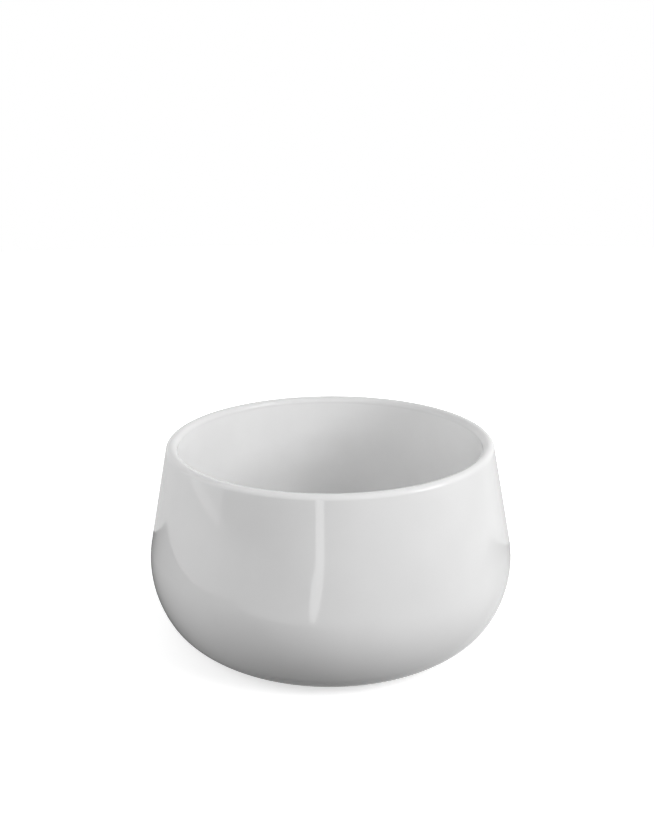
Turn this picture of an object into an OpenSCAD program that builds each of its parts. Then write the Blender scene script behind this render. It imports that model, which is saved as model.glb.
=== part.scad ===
// Round countertop basin in glazed china with its push-to-close waste.
// Millimetres, +Z up. The origin is the centre of the foot plane that stands on the countertop.

/* [Bowl] */
// Height of the rim above the countertop
bowl_height = 205; // [195:1:225]
// Widest diameter, at the belly
belly_diameter = 400; // [380:1:430]
// Height of the belly's widest point
belly_level = 75; // [70:1:85]
// Outer diameter of the rim
rim_diameter = 354; // [330:1:370]
// Thickness of the wall, and of the round lip that ends it
wall_thickness = 12; // [9:0.5:14]
// Radius of the belly's curve, seen in section
belly_radius = 105; // [95:1:115]
// Radius of the curve that turns under to the foot
foot_round = 50; // [44:1:56]
// Radius of the curve between the inner wall and the floor
inner_round = 42; // [36:1:48]

/* [Floor and foot] */
// Height of the inner floor at the edge of the waste's rebate
floor_level = 17; // [16:0.5:20]
// Fall of the floor towards the waste, in degrees
floor_fall = 2.5; // [1.5:0.1:3.5]
// Depth of the hollow inside the foot ring
foot_recess = 5; // [3:0.5:6]
// Width of the unglazed foot ring
foot_width = 12; // [8:1:16]
// Diameter of the hole for the waste
drain_hole_d = 46; // [44.5:0.5:48]
// Diameter of the rebate that the waste's flange sits in
rebate_d = 70; // [67:1:76]
// Depth of that rebate
rebate_depth = 3; // [2.5:0.5:4]

/* [Waste body] */
// Outer diameter of the pipe thread, G 1 1/4
thread_d = 41.91; // [41.5:0.01:42.3]
// Bore of the waste
waste_bore_d = 34; // [33:0.5:35]
// Diameter of the flange in the basin
flange_d = 65; // [63:0.5:66.5]
// Thickness of the flange
flange_thickness = 2.5; // [2.2:0.1:3.5]
// Length of the tail below the flange
tail_length = 70; // [67:1:90]
// Thickness of the gasket under the flange
gasket_thickness = 2; // [1:0.5:3]
// Length of thread left for the trap's nut
trap_thread_length = 19; // [15:1:20]
// Height of the back nut
nut_height = 12; // [9:1:14]
// Width across the flats of the back nut
nut_flats = 50; // [47:1:52]
// Number of arms that carry the cartridge
arm_count = 4; // [3:1:4]

/* [Plug and cartridge] */
// Diameter of the plug's cap
cap_d = 63; // [61:0.5:64]
// Rise of the cap's dome above its edge
cap_rise = 5.8; // [4:0.2:7]
// Travel of the plug from open to closed
lift = 9; // [7:0.5:9]
// Diameter of the plunger's stem
stem_d = 8; // [7:0.5:8.5]
// Outer diameter of the cartridge's barrel
barrel_d = 17; // [16:0.5:17]
// Diameter of the cam drum
drum_d = 11; // [10.8:0.1:11.2]
// Turn of the cam drum for each millimetre of travel, in degrees
drum_turn_per_mm = 4; // [3.6:0.1:4.2]
// Diameter of the follower pin
pin_d = 1.6; // [1.2:0.1:1.8]
// Wire of the return spring
wire_d = 0.9; // [0.7:0.05:1]
// Curls of the return spring
spring_curls = 8; // [6:1:9]

/* [Hidden] */
$fn = 120;

// Gaps: between parts that slide past each other, in a running bore, and in a screwed joint
free_gap = 0.3;
running_gap = 0.08;
screw_gap = 0.05;

// Bowl: radii and the centres of the section's curves
belly_r = belly_diameter / 2;
lip_r = wall_thickness / 2;
lip_centre = [rim_diameter / 2 - lip_r, bowl_height - lip_r];
belly_centre = [belly_r - belly_radius, belly_level];
to_lip = lip_centre - belly_centre;
wall_lean = atan2(to_lip.y, to_lip.x) - acos((belly_radius - lip_r) / norm(to_lip));
lean_out = [cos(wall_lean), sin(wall_lean)];
lip_outer = lip_centre + lip_r * lean_out;
lip_inner = lip_centre - lip_r * lean_out;
wall_foot = belly_centre + belly_radius * lean_out;
inner_belly = belly_radius - wall_thickness;
inner_wall_foot = belly_centre + inner_belly * lean_out;
foot_reach = sqrt(pow(belly_radius - foot_round, 2) - pow(belly_centre.y - foot_round, 2));
foot_centre = [belly_centre.x + foot_reach, foot_round];
turn_under = atan2(foot_centre.y - belly_centre.y, foot_centre.x - belly_centre.x);
belly_end = belly_centre + belly_radius * [cos(turn_under), sin(turn_under)];
foot_outer_r = foot_centre.x;
foot_inner_r = foot_outer_r - foot_width;
foot_break = 2;

// Inner floor: a cone that falls to the rebate, and the curve that joins it to the inner wall
rebate_r = rebate_d / 2;
floor_start = [rebate_r, floor_level];
floor_along = [cos(floor_fall), sin(floor_fall)];
floor_up = [-sin(floor_fall), cos(floor_fall)];
from_belly = floor_start + inner_round * floor_up - belly_centre;
along_part = from_belly * floor_along;
floor_run = sqrt(pow(along_part, 2) - from_belly * from_belly + pow(inner_belly - inner_round, 2)) - along_part;
inner_centre = floor_start + floor_run * floor_along + inner_round * floor_up;
inner_meet = atan2(inner_centre.y - belly_centre.y, inner_centre.x - belly_centre.x);
inner_belly_end = belly_centre + inner_belly * [cos(inner_meet), sin(inner_meet)];
floor_end = floor_start + floor_run * floor_along;
rebate_level = floor_level - rebate_depth;

// Waste body, from the flange down
thread_r = thread_d / 2;
bore_r = waste_bore_d / 2;
flange_r = flange_d / 2;
flange_under = rebate_level + gasket_thickness;
flange_top = flange_under + flange_thickness;
flange_edge = 1.2;
seat_r = 25.5;
seat_depth = 4.5;
tail_end = flange_under - tail_length;
tail_chamfer = 1;
relief_width = 2;
relief_depth = 1.5;
relief_low = tail_end + tail_chamfer + trap_thread_length;

// The clamping stack under the basin
washer_gap = 0.25;
washer_r = 29;
cone_flange = 4;
cone_height = 4;
slip_thickness = 1.5;
cone_low = foot_recess - cone_flange;
slip_low = cone_low - slip_thickness;
nut_low = slip_low - nut_height;
nut_collar = 2;
nut_chamfer = 2;

// Arms and the ring that carries the cartridge
hub_wall = 3;
hub_top = flange_top - 12.5;
hub_height = 6;
arm_width = 3;
arm_height = 5;

// Cartridge, from its bush down
barrel_r = barrel_d / 2;
barrel_wall = 2.5;
barrel_bore = barrel_r - barrel_wall;
collar_height = 3;
collar_flats = 20;
bush_top = flange_top - 6;
bush_flange = 1.5;
bush_plug = 2;
barrel_top = bush_top - bush_flange;
stem_r = stem_d / 2;
ring_wire = 1.2;
ring_gap = 0.1;

// Cam drum and its track: the follower pin climbs it as the drum goes down
drum_r = drum_d / 2;
track_stroke = 10;
track_latch = 8.5;
track_gap = 0.4;
track_half = pin_d / 2 + track_gap;
track_depth = 1.3;
track_r = drum_r - track_depth / 2;
track_margin = 2.2;
drum_height = track_stroke + 2 * (track_half + track_margin);
lobes = 3;
leg_turn = drum_turn_per_mm * track_stroke;
lobe_turn = 360 / lobes;
track = [
    for (lobe = [0 : lobes - 1]) each [
        [-lobe * lobe_turn, 0],
        [-lobe * lobe_turn - leg_turn, track_stroke],
        [-(lobe + 0.5) * lobe_turn, track_latch],
        [-(lobe + 1) * lobe_turn + leg_turn, track_stroke]
    ]
];
track_size = len(track);

// Plunger, at rest with the plug open
head_top = barrel_top - bush_plug - free_gap;
head_height = 2;
head_r = barrel_bore - free_gap;
spigot_r = 2.5;
drum_top = head_top - head_height - free_gap;
drum_low = drum_top - drum_height;
pin_level = drum_low + track_margin + track_half;
pin_tip = drum_r - track_depth + 0.4;
seat_disc = 1.5;
seat_disc_r = 5.2;
seat_top = drum_low - free_gap;
seat_low = seat_top - seat_disc;
rivet_r = 3.3;
rivet_height = 0.8;
spring_length = 19;
spring_low = seat_low - spring_length;
barrel_low = spring_low - 1.5;
vent_r = 1.5;
stem_top = bush_top + lift + 1;
screw_r = 3;
lock_nut_height = 3.5;
lock_nut_flats = 10;
boss_low = stem_top + lock_nut_height;

// Plug cap, at rest with the plug open
cap_r = cap_d / 2;
cap_edge = 2.2;
cap_wall = 2;
cap_low = flange_top + free_gap + lift;
cap_top = cap_low + cap_edge + cap_rise;
dome_r = (pow(cap_r, 2) + pow(cap_rise, 2)) / (2 * cap_rise);
dome_centre = [0, cap_top - dome_r];
cap_bevel = 0.5;
boss_r = 5.5;
screw_top = cap_top - cap_wall - 1.3;
grip_in = 18.5;
grip_out = 20;
grip_low = cap_low - 0.5;
seal_r = 25.5;
land_gap = 0.05;
land_level = dome_centre.y + sqrt(pow(dome_r - cap_wall, 2) - pow(seal_r, 2)) - land_gap;
seal_low = cap_low - 2;
seal_heel = 21.5;
seal_edge = cap_low + 0.1;

// Return spring: a tube about a helix whose first and last curls lie closer
spring_r = 4.3;
rings_per_curl = 8;
wire_sides = 6;
end_pitch = wire_d + 0.5;
mid_pitch = (spring_length - wire_d - 2 * end_pitch) / (spring_curls - 2);
function spring_height(t) =
    t < 1 ? end_pitch * t
    : t < spring_curls - 1 ? end_pitch + mid_pitch * (t - 1)
    : end_pitch + mid_pitch * (spring_curls - 2) + end_pitch * (t - spring_curls + 1);
function spring_point(t) =
    [spring_r * cos(360 * t), spring_r * sin(360 * t), spring_low + wire_d / 2 + spring_height(t)];
spring_first = spring_point(0) - [0, wire_d, 0];
spring_last = spring_point(spring_curls) + [0, wire_d, 0];
spring_path = [
    spring_first,
    for (i = [0 : spring_curls * rings_per_curl]) spring_point(i / rings_per_curl),
    spring_last
];
spring_least = min([
    for (i = [0 : 1 : len(spring_path) - 1])
        for (j = [i + rings_per_curl / 2 : 1 : len(spring_path) - 1])
            norm(spring_path[i] - spring_path[j])
]) - wire_d;
echo(least_spring_gap_mm = spring_least);

// Full circle of radius r about c, kept between the angles a and b
module arc_sector(c, r, a, b) {
    reach = r / cos((b - a) / 2);
    intersection() {
        translate(c) circle(r);
        polygon([
            c,
            c + r * [cos(a), sin(a)],
            c + reach * [cos((a + b) / 2), sin((a + b) / 2)],
            c + r * [cos(b), sin(b)]
        ]);
    }
}

// Ring of rectangular section
module ring(r_in, r_out, low, high) {
    translate([0, 0, low]) difference() {
        cylinder(r = r_out, h = high - low);
        translate([0, 0, -1]) cylinder(r = r_in, h = high - low + 2);
    }
}

// Hexagonal prism by its width across the flats
module hexagon(flats, height) {
    cylinder(d = flats / cos(30), h = height, $fn = 6);
}

// Section of the bowl as if it were full
module bowl_outside() {
    polygon([[0, 0], [foot_outer_r, 0], belly_end, wall_foot, lip_outer, lip_inner, [0, lip_inner.y]]);
    arc_sector(foot_centre, foot_round, -90, turn_under);
    arc_sector(belly_centre, belly_radius, turn_under, wall_lean);
}

// Section of the space in the bowl
module bowl_inside() {
    polygon([
        [0, rebate_level], [rebate_r, rebate_level], floor_start, floor_end, inner_belly_end,
        inner_wall_foot, lip_inner, [lip_inner.x, bowl_height + 5], [0, bowl_height + 5]
    ]);
    arc_sector(inner_centre, inner_round, floor_fall - 90, inner_meet);
    arc_sector(belly_centre, inner_belly, inner_meet, wall_lean);
}

// Bowl with its round lip, sloping floor, waste rebate and hollow foot
module basin_bowl() {
    color("white") rotate_extrude() {
        difference() {
            bowl_outside();
            bowl_inside();
            translate([-1, -1]) square([drain_hole_d / 2 + 1, floor_level + 2]);
            polygon([
                [0, -1], [foot_inner_r, -1], [foot_inner_r, 0],
                [foot_inner_r - foot_break, foot_recess], [0, foot_recess]
            ]);
        }
        translate(lip_centre) circle(lip_r);
    }
}

// Threaded waste with its dished flange, and the ring on arms that carries the cartridge
module waste_body() {
    color("#2b2b2d") {
        rotate_extrude() polygon([
            [bore_r, tail_end], [thread_r - tail_chamfer, tail_end], [thread_r, tail_end + tail_chamfer],
            [thread_r, relief_low], [thread_r - relief_depth, relief_low],
            [thread_r - relief_depth, relief_low + relief_width], [thread_r, relief_low + relief_width],
            [thread_r, flange_under], [flange_r, flange_under], [flange_r, flange_under + flange_edge],
            [flange_r - 3, flange_top], [seat_r, flange_top], [bore_r, flange_top - seat_depth]
        ]);
        ring(barrel_r + screw_gap, barrel_r + hub_wall, hub_top - hub_height, hub_top);
        for (i = [0 : arm_count - 1])
            rotate([0, 0, 45 + i * 360 / arm_count])
                translate([barrel_r + 1, -arm_width / 2, hub_top - hub_height])
                    cube([bore_r - barrel_r, arm_width, arm_height]);
    }
}

// Rubber gasket between the flange and the rebate
module flange_gasket() {
    color("#1c1c1c") ring(thread_r + washer_gap, flange_r - 1.5, rebate_level, flange_under);
}

// Rubber washer whose cone centres the waste in the drain hole
module cone_washer() {
    cone_r = drain_hole_d / 2 - washer_gap;
    color("#1c1c1c") rotate_extrude() polygon([
        [thread_r + washer_gap, cone_low], [washer_r, cone_low], [washer_r, foot_recess],
        [cone_r, foot_recess], [thread_r + washer_gap + 0.7, foot_recess + cone_height],
        [thread_r + washer_gap, foot_recess + cone_height]
    ]);
}

// Plastic washer that lets the nut turn without dragging the rubber
module slip_washer() {
    color("#e8e6df") ring(thread_r + washer_gap, washer_r, slip_low, cone_low);
}

// Brass back nut: a round collar over a hexagon with broken corners
module back_nut() {
    corner_r = nut_flats / 2 / cos(30);
    color("#b08d4a") difference() {
        union() {
            translate([0, 0, slip_low - nut_collar]) cylinder(r = washer_r, h = nut_collar);
            intersection() {
                translate([0, 0, nut_low]) hexagon(nut_flats, nut_height);
                translate([0, 0, nut_low])
                    cylinder(r1 = corner_r - nut_chamfer, r2 = corner_r + nut_height - nut_chamfer, h = nut_height);
            }
        }
        translate([0, 0, nut_low - 1]) cylinder(r = thread_r + screw_gap, h = nut_height + 2);
    }
}

// Brass barrel with a hexagonal collar that seats on the waste's ring
module cartridge_housing() {
    color("#b08d4a") difference() {
        union() {
            translate([0, 0, barrel_low]) cylinder(r = barrel_r, h = barrel_top - barrel_low);
            translate([0, 0, hub_top]) hexagon(collar_flats, collar_height);
        }
        translate([0, 0, spring_low]) cylinder(r = barrel_bore, h = barrel_top - spring_low + 1);
        translate([0, 0, barrel_low - 1]) cylinder(r = vent_r, h = spring_low - barrel_low + 2);
        translate([0, 0, pin_level]) rotate([0, 90, 0]) cylinder(d = pin_d, h = barrel_r + 1);
    }
}

// Bush that closes the barrel and guides the stem
module cartridge_bush() {
    color("#d9d6cc") difference() {
        union() {
            translate([0, 0, barrel_top - bush_plug]) cylinder(r = barrel_bore - screw_gap, h = bush_plug);
            translate([0, 0, barrel_top]) cylinder(r = barrel_r, h = bush_flange);
        }
        translate([0, 0, barrel_top - bush_plug - 1])
            cylinder(r = stem_r + running_gap, h = bush_plug + bush_flange + 2);
        translate([0, 0, bush_top - ring_wire])
            cylinder(r = stem_r + ring_gap + ring_wire, h = ring_wire + 1);
    }
}

// Wiper ring in the bush's mouth
module stem_o_ring() {
    color("#1c1c1c") rotate_extrude()
        translate([stem_r + ring_gap + ring_wire / 2, bush_top - ring_wire / 2]) circle(d = ring_wire, $fn = 32);
}

// Steel pin pressed through the barrel's wall into the drum's track
module follower_pin() {
    color("#c9ccd0") translate([pin_tip, 0, pin_level]) rotate([0, 90, 0]) cylinder(d = pin_d, h = barrel_r - pin_tip);
}

// One straight leg of the drum's track between two points given as [angle, height]
module track_leg(from, to) {
    turn = to[0] > from[0] ? to[0] - 360 - from[0] : to[0] - from[0];
    side = 2 * track_r * sin(turn / 2);
    rise = to[1] - from[1];
    run = norm([side, rise]) + 2 * track_half;
    rotate([0, 0, from[0] + turn / 2])
        translate([drum_r - track_depth, 0, (from[1] + to[1]) / 2])
            rotate([atan2(rise, side), 0, 0])
                translate([0, -run / 2, -track_half])
                    cube([track_depth + 1, run, 2 * track_half]);
}

// Drum whose zigzag track turns it past the follower pin as the plug is pressed
module cam_drum() {
    color("#e8e6df") difference() {
        translate([0, 0, drum_low]) cylinder(r = drum_r, h = drum_height);
        translate([0, 0, drum_low - 1]) cylinder(r = spigot_r + running_gap, h = drum_height + 2);
        translate([0, 0, pin_level])
            for (i = [0 : track_size - 1]) track_leg(track[i], track[(i + 1) % track_size]);
    }
}

// Direction of the spring's path at its point i
function spring_along(i) =
    let (a = spring_path[max(i - 1, 0)], b = spring_path[min(i + 1, len(spring_path) - 1)]) (b - a) / norm(b - a);

// Return spring as one unbroken tube
module return_spring() {
    count = len(spring_path);
    points = [
        for (i = [0 : count - 1])
            let (
                along = spring_along(i),
                side = cross(along, [0, 0, 1]) / norm(cross(along, [0, 0, 1])),
                up = cross(side, along)
            )
            for (k = [0 : wire_sides - 1])
                let (a = 360 * k / wire_sides + 30)
                spring_path[i] + wire_d / 2 * (cos(a) * side + sin(a) * up)
    ];
    walls = [
        for (i = [0 : count - 2], k = [0 : wire_sides - 1])
            let (n = (k + 1) % wire_sides, base = i * wire_sides)
            [base + k, base + wire_sides + k, base + wire_sides + n, base + n]
    ];
    first = [for (k = [0 : wire_sides - 1]) k];
    last = [for (k = [wire_sides - 1 : -1 : 0]) (count - 1) * wire_sides + k];
    color("#c9ccd0") polyhedron(points, concat(walls, [first, last]), convexity = 10);
}

// Stem with the head that stops it under the bush, and the spigot that the drum turns on
module plunger() {
    color("#b08d4a") rotate_extrude() polygon([
        [0, seat_low - rivet_height], [rivet_r, seat_low - rivet_height], [rivet_r, seat_low],
        [spigot_r, seat_low], [spigot_r, head_top - head_height], [head_r, head_top - head_height],
        [head_r, head_top], [stem_r, head_top], [stem_r, stem_top], [screw_r, stem_top],
        [screw_r, screw_top - 0.5], [0, screw_top - 0.5]
    ]);
}

// Disc riveted under the drum, on which the spring bears
module spring_seat() {
    color("#c9ccd0") ring(spigot_r, seat_disc_r, seat_low, seat_top);
}

// Nut that locks the cap at its height on the stem
module cap_lock_nut() {
    color("#b08d4a") translate([0, 0, stem_top]) difference() {
        hexagon(lock_nut_flats, lock_nut_height);
        translate([0, 0, -1]) cylinder(r = screw_r + screw_gap, h = lock_nut_height + 2);
    }
}

// Domed cap with its screwed boss and the ring that grips the seal
module plug_cap() {
    color("#2b2b2d") rotate_extrude() {
        difference() {
            intersection() {
                polygon([
                    [0, cap_low], [cap_r - cap_bevel, cap_low], [cap_r, cap_low + cap_bevel],
                    [cap_r, cap_top + 1], [0, cap_top + 1]
                ]);
                translate(dome_centre) circle(dome_r, $fn = 360);
            }
            intersection() {
                translate([-1, cap_low - 1]) square([cap_r - cap_wall + 1, cap_edge + cap_rise]);
                translate(dome_centre) circle(dome_r - cap_wall, $fn = 360);
            }
        }
        intersection() {
            union() {
                translate([grip_in, land_level]) square([seal_r - grip_in, cap_top - land_level]);
                translate([grip_in, grip_low]) square([grip_out - grip_in, cap_top - grip_low]);
                translate([screw_r + screw_gap, boss_low])
                    square([boss_r - screw_r - screw_gap, cap_top - boss_low]);
                translate([0, screw_top]) square([boss_r, cap_top - screw_top]);
            }
            translate(dome_centre) circle(dome_r - cap_wall / 2, $fn = 360);
        }
    }
}

// Rubber seal that closes on the flange's cone
module plug_seal() {
    color("#1c1c1c") rotate_extrude() polygon([
        [grip_out, seal_low], [seal_heel, seal_low], [seal_r, seal_edge], [seal_r, land_level],
        [grip_out, land_level]
    ]);
}

basin_bowl();
waste_body();
flange_gasket();
cone_washer();
slip_washer();
back_nut();
cartridge_housing();
cartridge_bush();
stem_o_ring();
follower_pin();
cam_drum();
return_spring();
plunger();
spring_seat();
cap_lock_nut();
plug_cap();
plug_seal();
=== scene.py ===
"""Looks of a round countertop basin in white glazed china, with its push-to-close waste.

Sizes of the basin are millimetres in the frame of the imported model: +Z is up, and the origin is the centre
of the plane that the foot ring stands on. The meshes are made in metres, and so are the studio's sizes.
"""

import logging
import math
from dataclasses import dataclass
from enum import Enum
from typing import Callable, ClassVar, Optional, Sequence, Union

import bmesh
import bpy
from bpy.types import ID, Light, Material, Mesh, Node, NodeSocket, NodeTree, Object
from mathutils import Matrix, Vector

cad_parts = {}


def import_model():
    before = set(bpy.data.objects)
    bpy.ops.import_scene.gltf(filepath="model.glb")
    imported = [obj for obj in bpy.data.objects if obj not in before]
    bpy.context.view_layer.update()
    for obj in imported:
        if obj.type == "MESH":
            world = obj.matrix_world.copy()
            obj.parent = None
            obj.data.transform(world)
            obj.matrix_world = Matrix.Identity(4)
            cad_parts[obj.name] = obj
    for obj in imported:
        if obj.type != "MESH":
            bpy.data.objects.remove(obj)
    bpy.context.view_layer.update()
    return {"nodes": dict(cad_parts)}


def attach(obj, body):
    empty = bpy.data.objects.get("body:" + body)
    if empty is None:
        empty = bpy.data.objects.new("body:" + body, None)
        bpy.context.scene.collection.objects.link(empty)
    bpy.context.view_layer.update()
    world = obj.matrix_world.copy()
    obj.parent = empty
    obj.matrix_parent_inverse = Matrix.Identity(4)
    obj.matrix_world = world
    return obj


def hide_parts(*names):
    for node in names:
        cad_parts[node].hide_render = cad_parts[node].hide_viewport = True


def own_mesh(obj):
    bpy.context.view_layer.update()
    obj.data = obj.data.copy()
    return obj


MM = 0.001
WHITE = (1.0, 1.0, 1.0, 1.0)
log = logging.getLogger("basin")

Point = tuple[float, float]
Place = tuple[float, float, float]
Shape = tuple[Sequence[Sequence[float]], Sequence[Sequence[int]]]
Setting = Union[float, int, str, Sequence[float], NodeSocket]
Inputs = dict[Union[str, int], Setting]


class Body(str, Enum):
    """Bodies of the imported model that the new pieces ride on."""

    BASIN = "basin"
    PLUG = "plug"


class Slot(str, Enum):
    """Material slots of the record."""

    WHITE_GLAZE = "white_glaze"
    BLACK_FITTING = "black_fitting"
    BLACK_RUBBER = "black_rubber"
    WHITE_PLASTIC = "white_plastic"
    BRASS = "brass"
    STEEL = "steel"


class Ray(str, Enum):
    """Kinds of ray that an object can be hidden from."""

    CAMERA = "camera"
    DIFFUSE = "diffuse"
    GLOSSY = "glossy"
    SHADOW = "shadow"
    TRANSMISSION = "transmission"


# Colour and shader nodes


def linear(colour: str) -> tuple[float, float, float, float]:
    """Turns an sRGB hex colour into a linear one.

    Args:
        colour: Six hex digits after a hash.

    Returns:
        Red, green and blue as linear light, and an alpha of 1.
    """
    parts = [int(colour[i : i + 2], 16) / 255 for i in (1, 3, 5)]
    red, green, blue = (c / 12.92 if c <= 0.04045 else ((c + 0.055) / 1.055) ** 2.4 for c in parts)
    return red, green, blue, 1.0


def add(
    tree: NodeTree,
    kind: str,
    inputs: Optional[Inputs] = None,
    stops: Sequence[tuple[float, str]] = (),
    **settings: object,
) -> Node:
    """Adds a shader node.

    Args:
        tree: Node tree that gets the node.
        kind: Type of the node without the words ShaderNode.
        inputs: What each input socket is set to, or the output socket that feeds it.
        stops: The two places of a colour ramp, from 0 to 1, with their colours.
        settings: Properties of the node itself.

    Returns:
        The new node.
    """
    node = tree.nodes.new("ShaderNode" + kind)
    for name, value in settings.items():
        setattr(node, name, value)
    for i, (place, colour) in enumerate(stops):
        node.color_ramp.elements[i].position = place
        node.color_ramp.elements[i].color = linear(colour)
    for socket, value in (inputs or {}).items():
        if isinstance(value, NodeSocket):
            tree.links.new(value, node.inputs[socket])
        else:
            node.inputs[socket].default_value = value
    return node


def grain(millimetres: float) -> float:
    """Scale of a noise pattern whose features are that far apart, on coordinates in metres."""
    return 1 / (millimetres * MM)


def off_axis(tree: NodeTree, where: NodeSocket) -> NodeSocket:
    """Adds the nodes that work out how far from the axis a place is, and returns the socket with it."""
    level = add(tree, "VectorMath", {0: where, 1: (1.0, 1.0, 0.0)}, operation="MULTIPLY")
    return add(tree, "VectorMath", {0: level.outputs["Vector"]}, operation="LENGTH").outputs["Value"]


def blank(name: str) -> Material:
    """Makes a material that has no nodes yet.

    Args:
        name: Name of the material.

    Returns:
        The material.
    """
    material = bpy.data.materials.new(name)
    material.use_nodes = True
    material.node_tree.nodes.clear()
    return material


# Finishes


@dataclass(frozen=True)
class Finish:
    """A real material and how its surface was made.

    Attributes:
        name: Name of the material.
        slot: Material slot of the record that it belongs to.
        tones: Colours of its pattern, from low to high.
        reached: Values of the pattern at which those colours are reached.
        rough: Roughness at the low and the high end of its pattern.
        rough_over: Values of the pattern between which the roughness changes.
        ior: Index of refraction, left alone on a metal.
        metallic: 1 on a bare metal.
    """

    name: str
    slot: Slot
    tones: tuple[str, str]
    reached: Point
    rough: Point
    rough_over: Point = (0.0, 1.0)
    ior: float = 1.5
    metallic: float = 0.0

    def material(self) -> Material:
        """Gives the material, which is built when it is first asked for.

        Returns:
            The material.
        """
        made = bpy.data.materials.get(self.name)
        if made is None:
            made = blank(self.name)
            tree = made.node_tree
            where = add(tree, "TexCoord").outputs["Object"]
            inputs = {"Metallic": self.metallic, **self.dress(tree, where)}
            if not self.metallic:
                inputs["IOR"] = self.ior
            shader = add(tree, "BsdfPrincipled", inputs)
            add(tree, "OutputMaterial", {"Surface": shader.outputs["BSDF"]})
        return made

    def vary(self, tree: NodeTree, tint: NodeSocket, sheen: NodeSocket) -> Inputs:
        """Makes the colour and the roughness follow a pattern.

        Args:
            tree: Node tree of the material.
            tint: Pattern that the colour follows, from 0 to 1.
            sheen: Pattern that the roughness follows.

        Returns:
            What feeds the shader's colour and roughness.
        """
        colour = add(tree, "ValToRGB", {"Fac": tint}, tuple(zip(self.reached, self.tones)))
        (start, end), (low, high) = self.rough_over, self.rough
        spread = {"Value": sheen, "From Min": start, "From Max": end, "To Min": low, "To Max": high}
        roughness = add(tree, "MapRange", spread)
        return {"Base Color": colour.outputs["Color"], "Roughness": roughness.outputs["Result"]}

    def dress(self, tree: NodeTree, where: NodeSocket) -> Inputs:
        """Adds the nodes of the colour, roughness and relief.

        Args:
            tree: Node tree of the material.
            where: Place on the object, in metres.

        Returns:
            What the shader's sockets are set to, and what feeds them.
        """
        raise NotImplementedError


@dataclass(frozen=True)
class GlazedChina(Finish):
    """Vitreous china, cast and then fired under a white glaze.

    The glaze is glass, so it mirrors the room sharply, but it flows as it melts: what it mirrors wavers
    over a few centimetres, and it has a faint orange peel. Its colour is darker over the lip's top and inner
    edge: painted shade.

    Attributes:
        patch_mm: Width of the colour's patches.
        dull_mm: Width of the roughness's patches.
        lip: Colour of the painted shade over the lip's top and inner edge.
        lip_mid_r_mm: Distance from the axis to the middle of the lip.
        lip_from_mm: Height there at which the painted shade begins.
        lip_to_mm: Height there at which the painted shade is fullest.
        lip_inward: Fall of those heights for each millimetre inwards.
    """

    name: str = "glazed_vitreous_china"
    slot: Slot = Slot.WHITE_GLAZE
    tones: tuple[str, str] = ("#ECECEC", "#F0F0F0")
    reached: Point = (0.35, 0.65)
    rough: Point = (0.03, 0.075)
    ior: float = 1.52
    patch_mm: float = 85.0
    dull_mm: float = 30.0
    lip: str = "#E6E6E6"
    lip_mid_r_mm: float = 171.0
    lip_from_mm: float = 200.0
    lip_to_mm: float = 204.5
    lip_inward: float = 0.8
    swell_mm: float = 46.0
    swell_height_mm: float = 0.1
    peel_mm: float = 7.0
    peel_height_mm: float = 0.004

    def dress(self, tree: NodeTree, where: NodeSocket) -> Inputs:
        """Adds the glaze's patches, a painted shade over the lip's top and inner edge, its slow swell and its
        fine peel.

        Args:
            tree: Node tree of the material.
            where: Place on the object, in metres.

        Returns:
            What feeds the shader's sockets.
        """
        patches = add(tree, "TexNoise", {"Vector": where, "Scale": grain(self.patch_mm), "Detail": 2.0})
        dull = add(tree, "TexNoise", {"Vector": where, "Scale": grain(self.dull_mm), "Detail": 3.0})
        made = self.vary(tree, patches.outputs["Fac"], dull.outputs["Fac"])
        # Painted shade: towards the lip's top and inner edge, the colour goes over to the darker lip colour.
        height = add(tree, "SeparateXYZ", {"Vector": where}).outputs["Z"]
        leaning = {0: off_axis(tree, where), 1: -self.lip_inward, 2: height}
        inward = add(tree, "Math", leaning, operation="MULTIPLY_ADD").outputs["Value"]
        middle = self.lip_inward * self.lip_mid_r_mm
        low, high = (self.lip_from_mm - middle) * MM, (self.lip_to_mm - middle) * MM
        limits = {"Value": inward, "From Min": low, "From Max": high}
        lip_shade_mask = add(tree, "MapRange", limits, interpolation_type="SMOOTHSTEP").outputs["Result"]
        colours = {0: lip_shade_mask, 6: made["Base Color"], 7: linear(self.lip)}
        coat = add(tree, "Mix", colours, data_type="RGBA")
        swell = add(tree, "TexNoise", {"Vector": where, "Scale": grain(self.swell_mm), "Detail": 1.0})
        slow = add(tree, "Bump", {"Height": swell.outputs["Fac"], "Distance": self.swell_height_mm * MM})
        peel = add(tree, "TexNoise", {"Vector": where, "Scale": grain(self.peel_mm), "Detail": 1.0})
        fine = {"Height": peel.outputs["Fac"], "Distance": self.peel_height_mm * MM}
        relief = add(tree, "Bump", {**fine, "Normal": slow.outputs["Normal"]})
        return {**made, "Base Color": coat.outputs[2], "Normal": relief.outputs["Normal"]}


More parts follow.
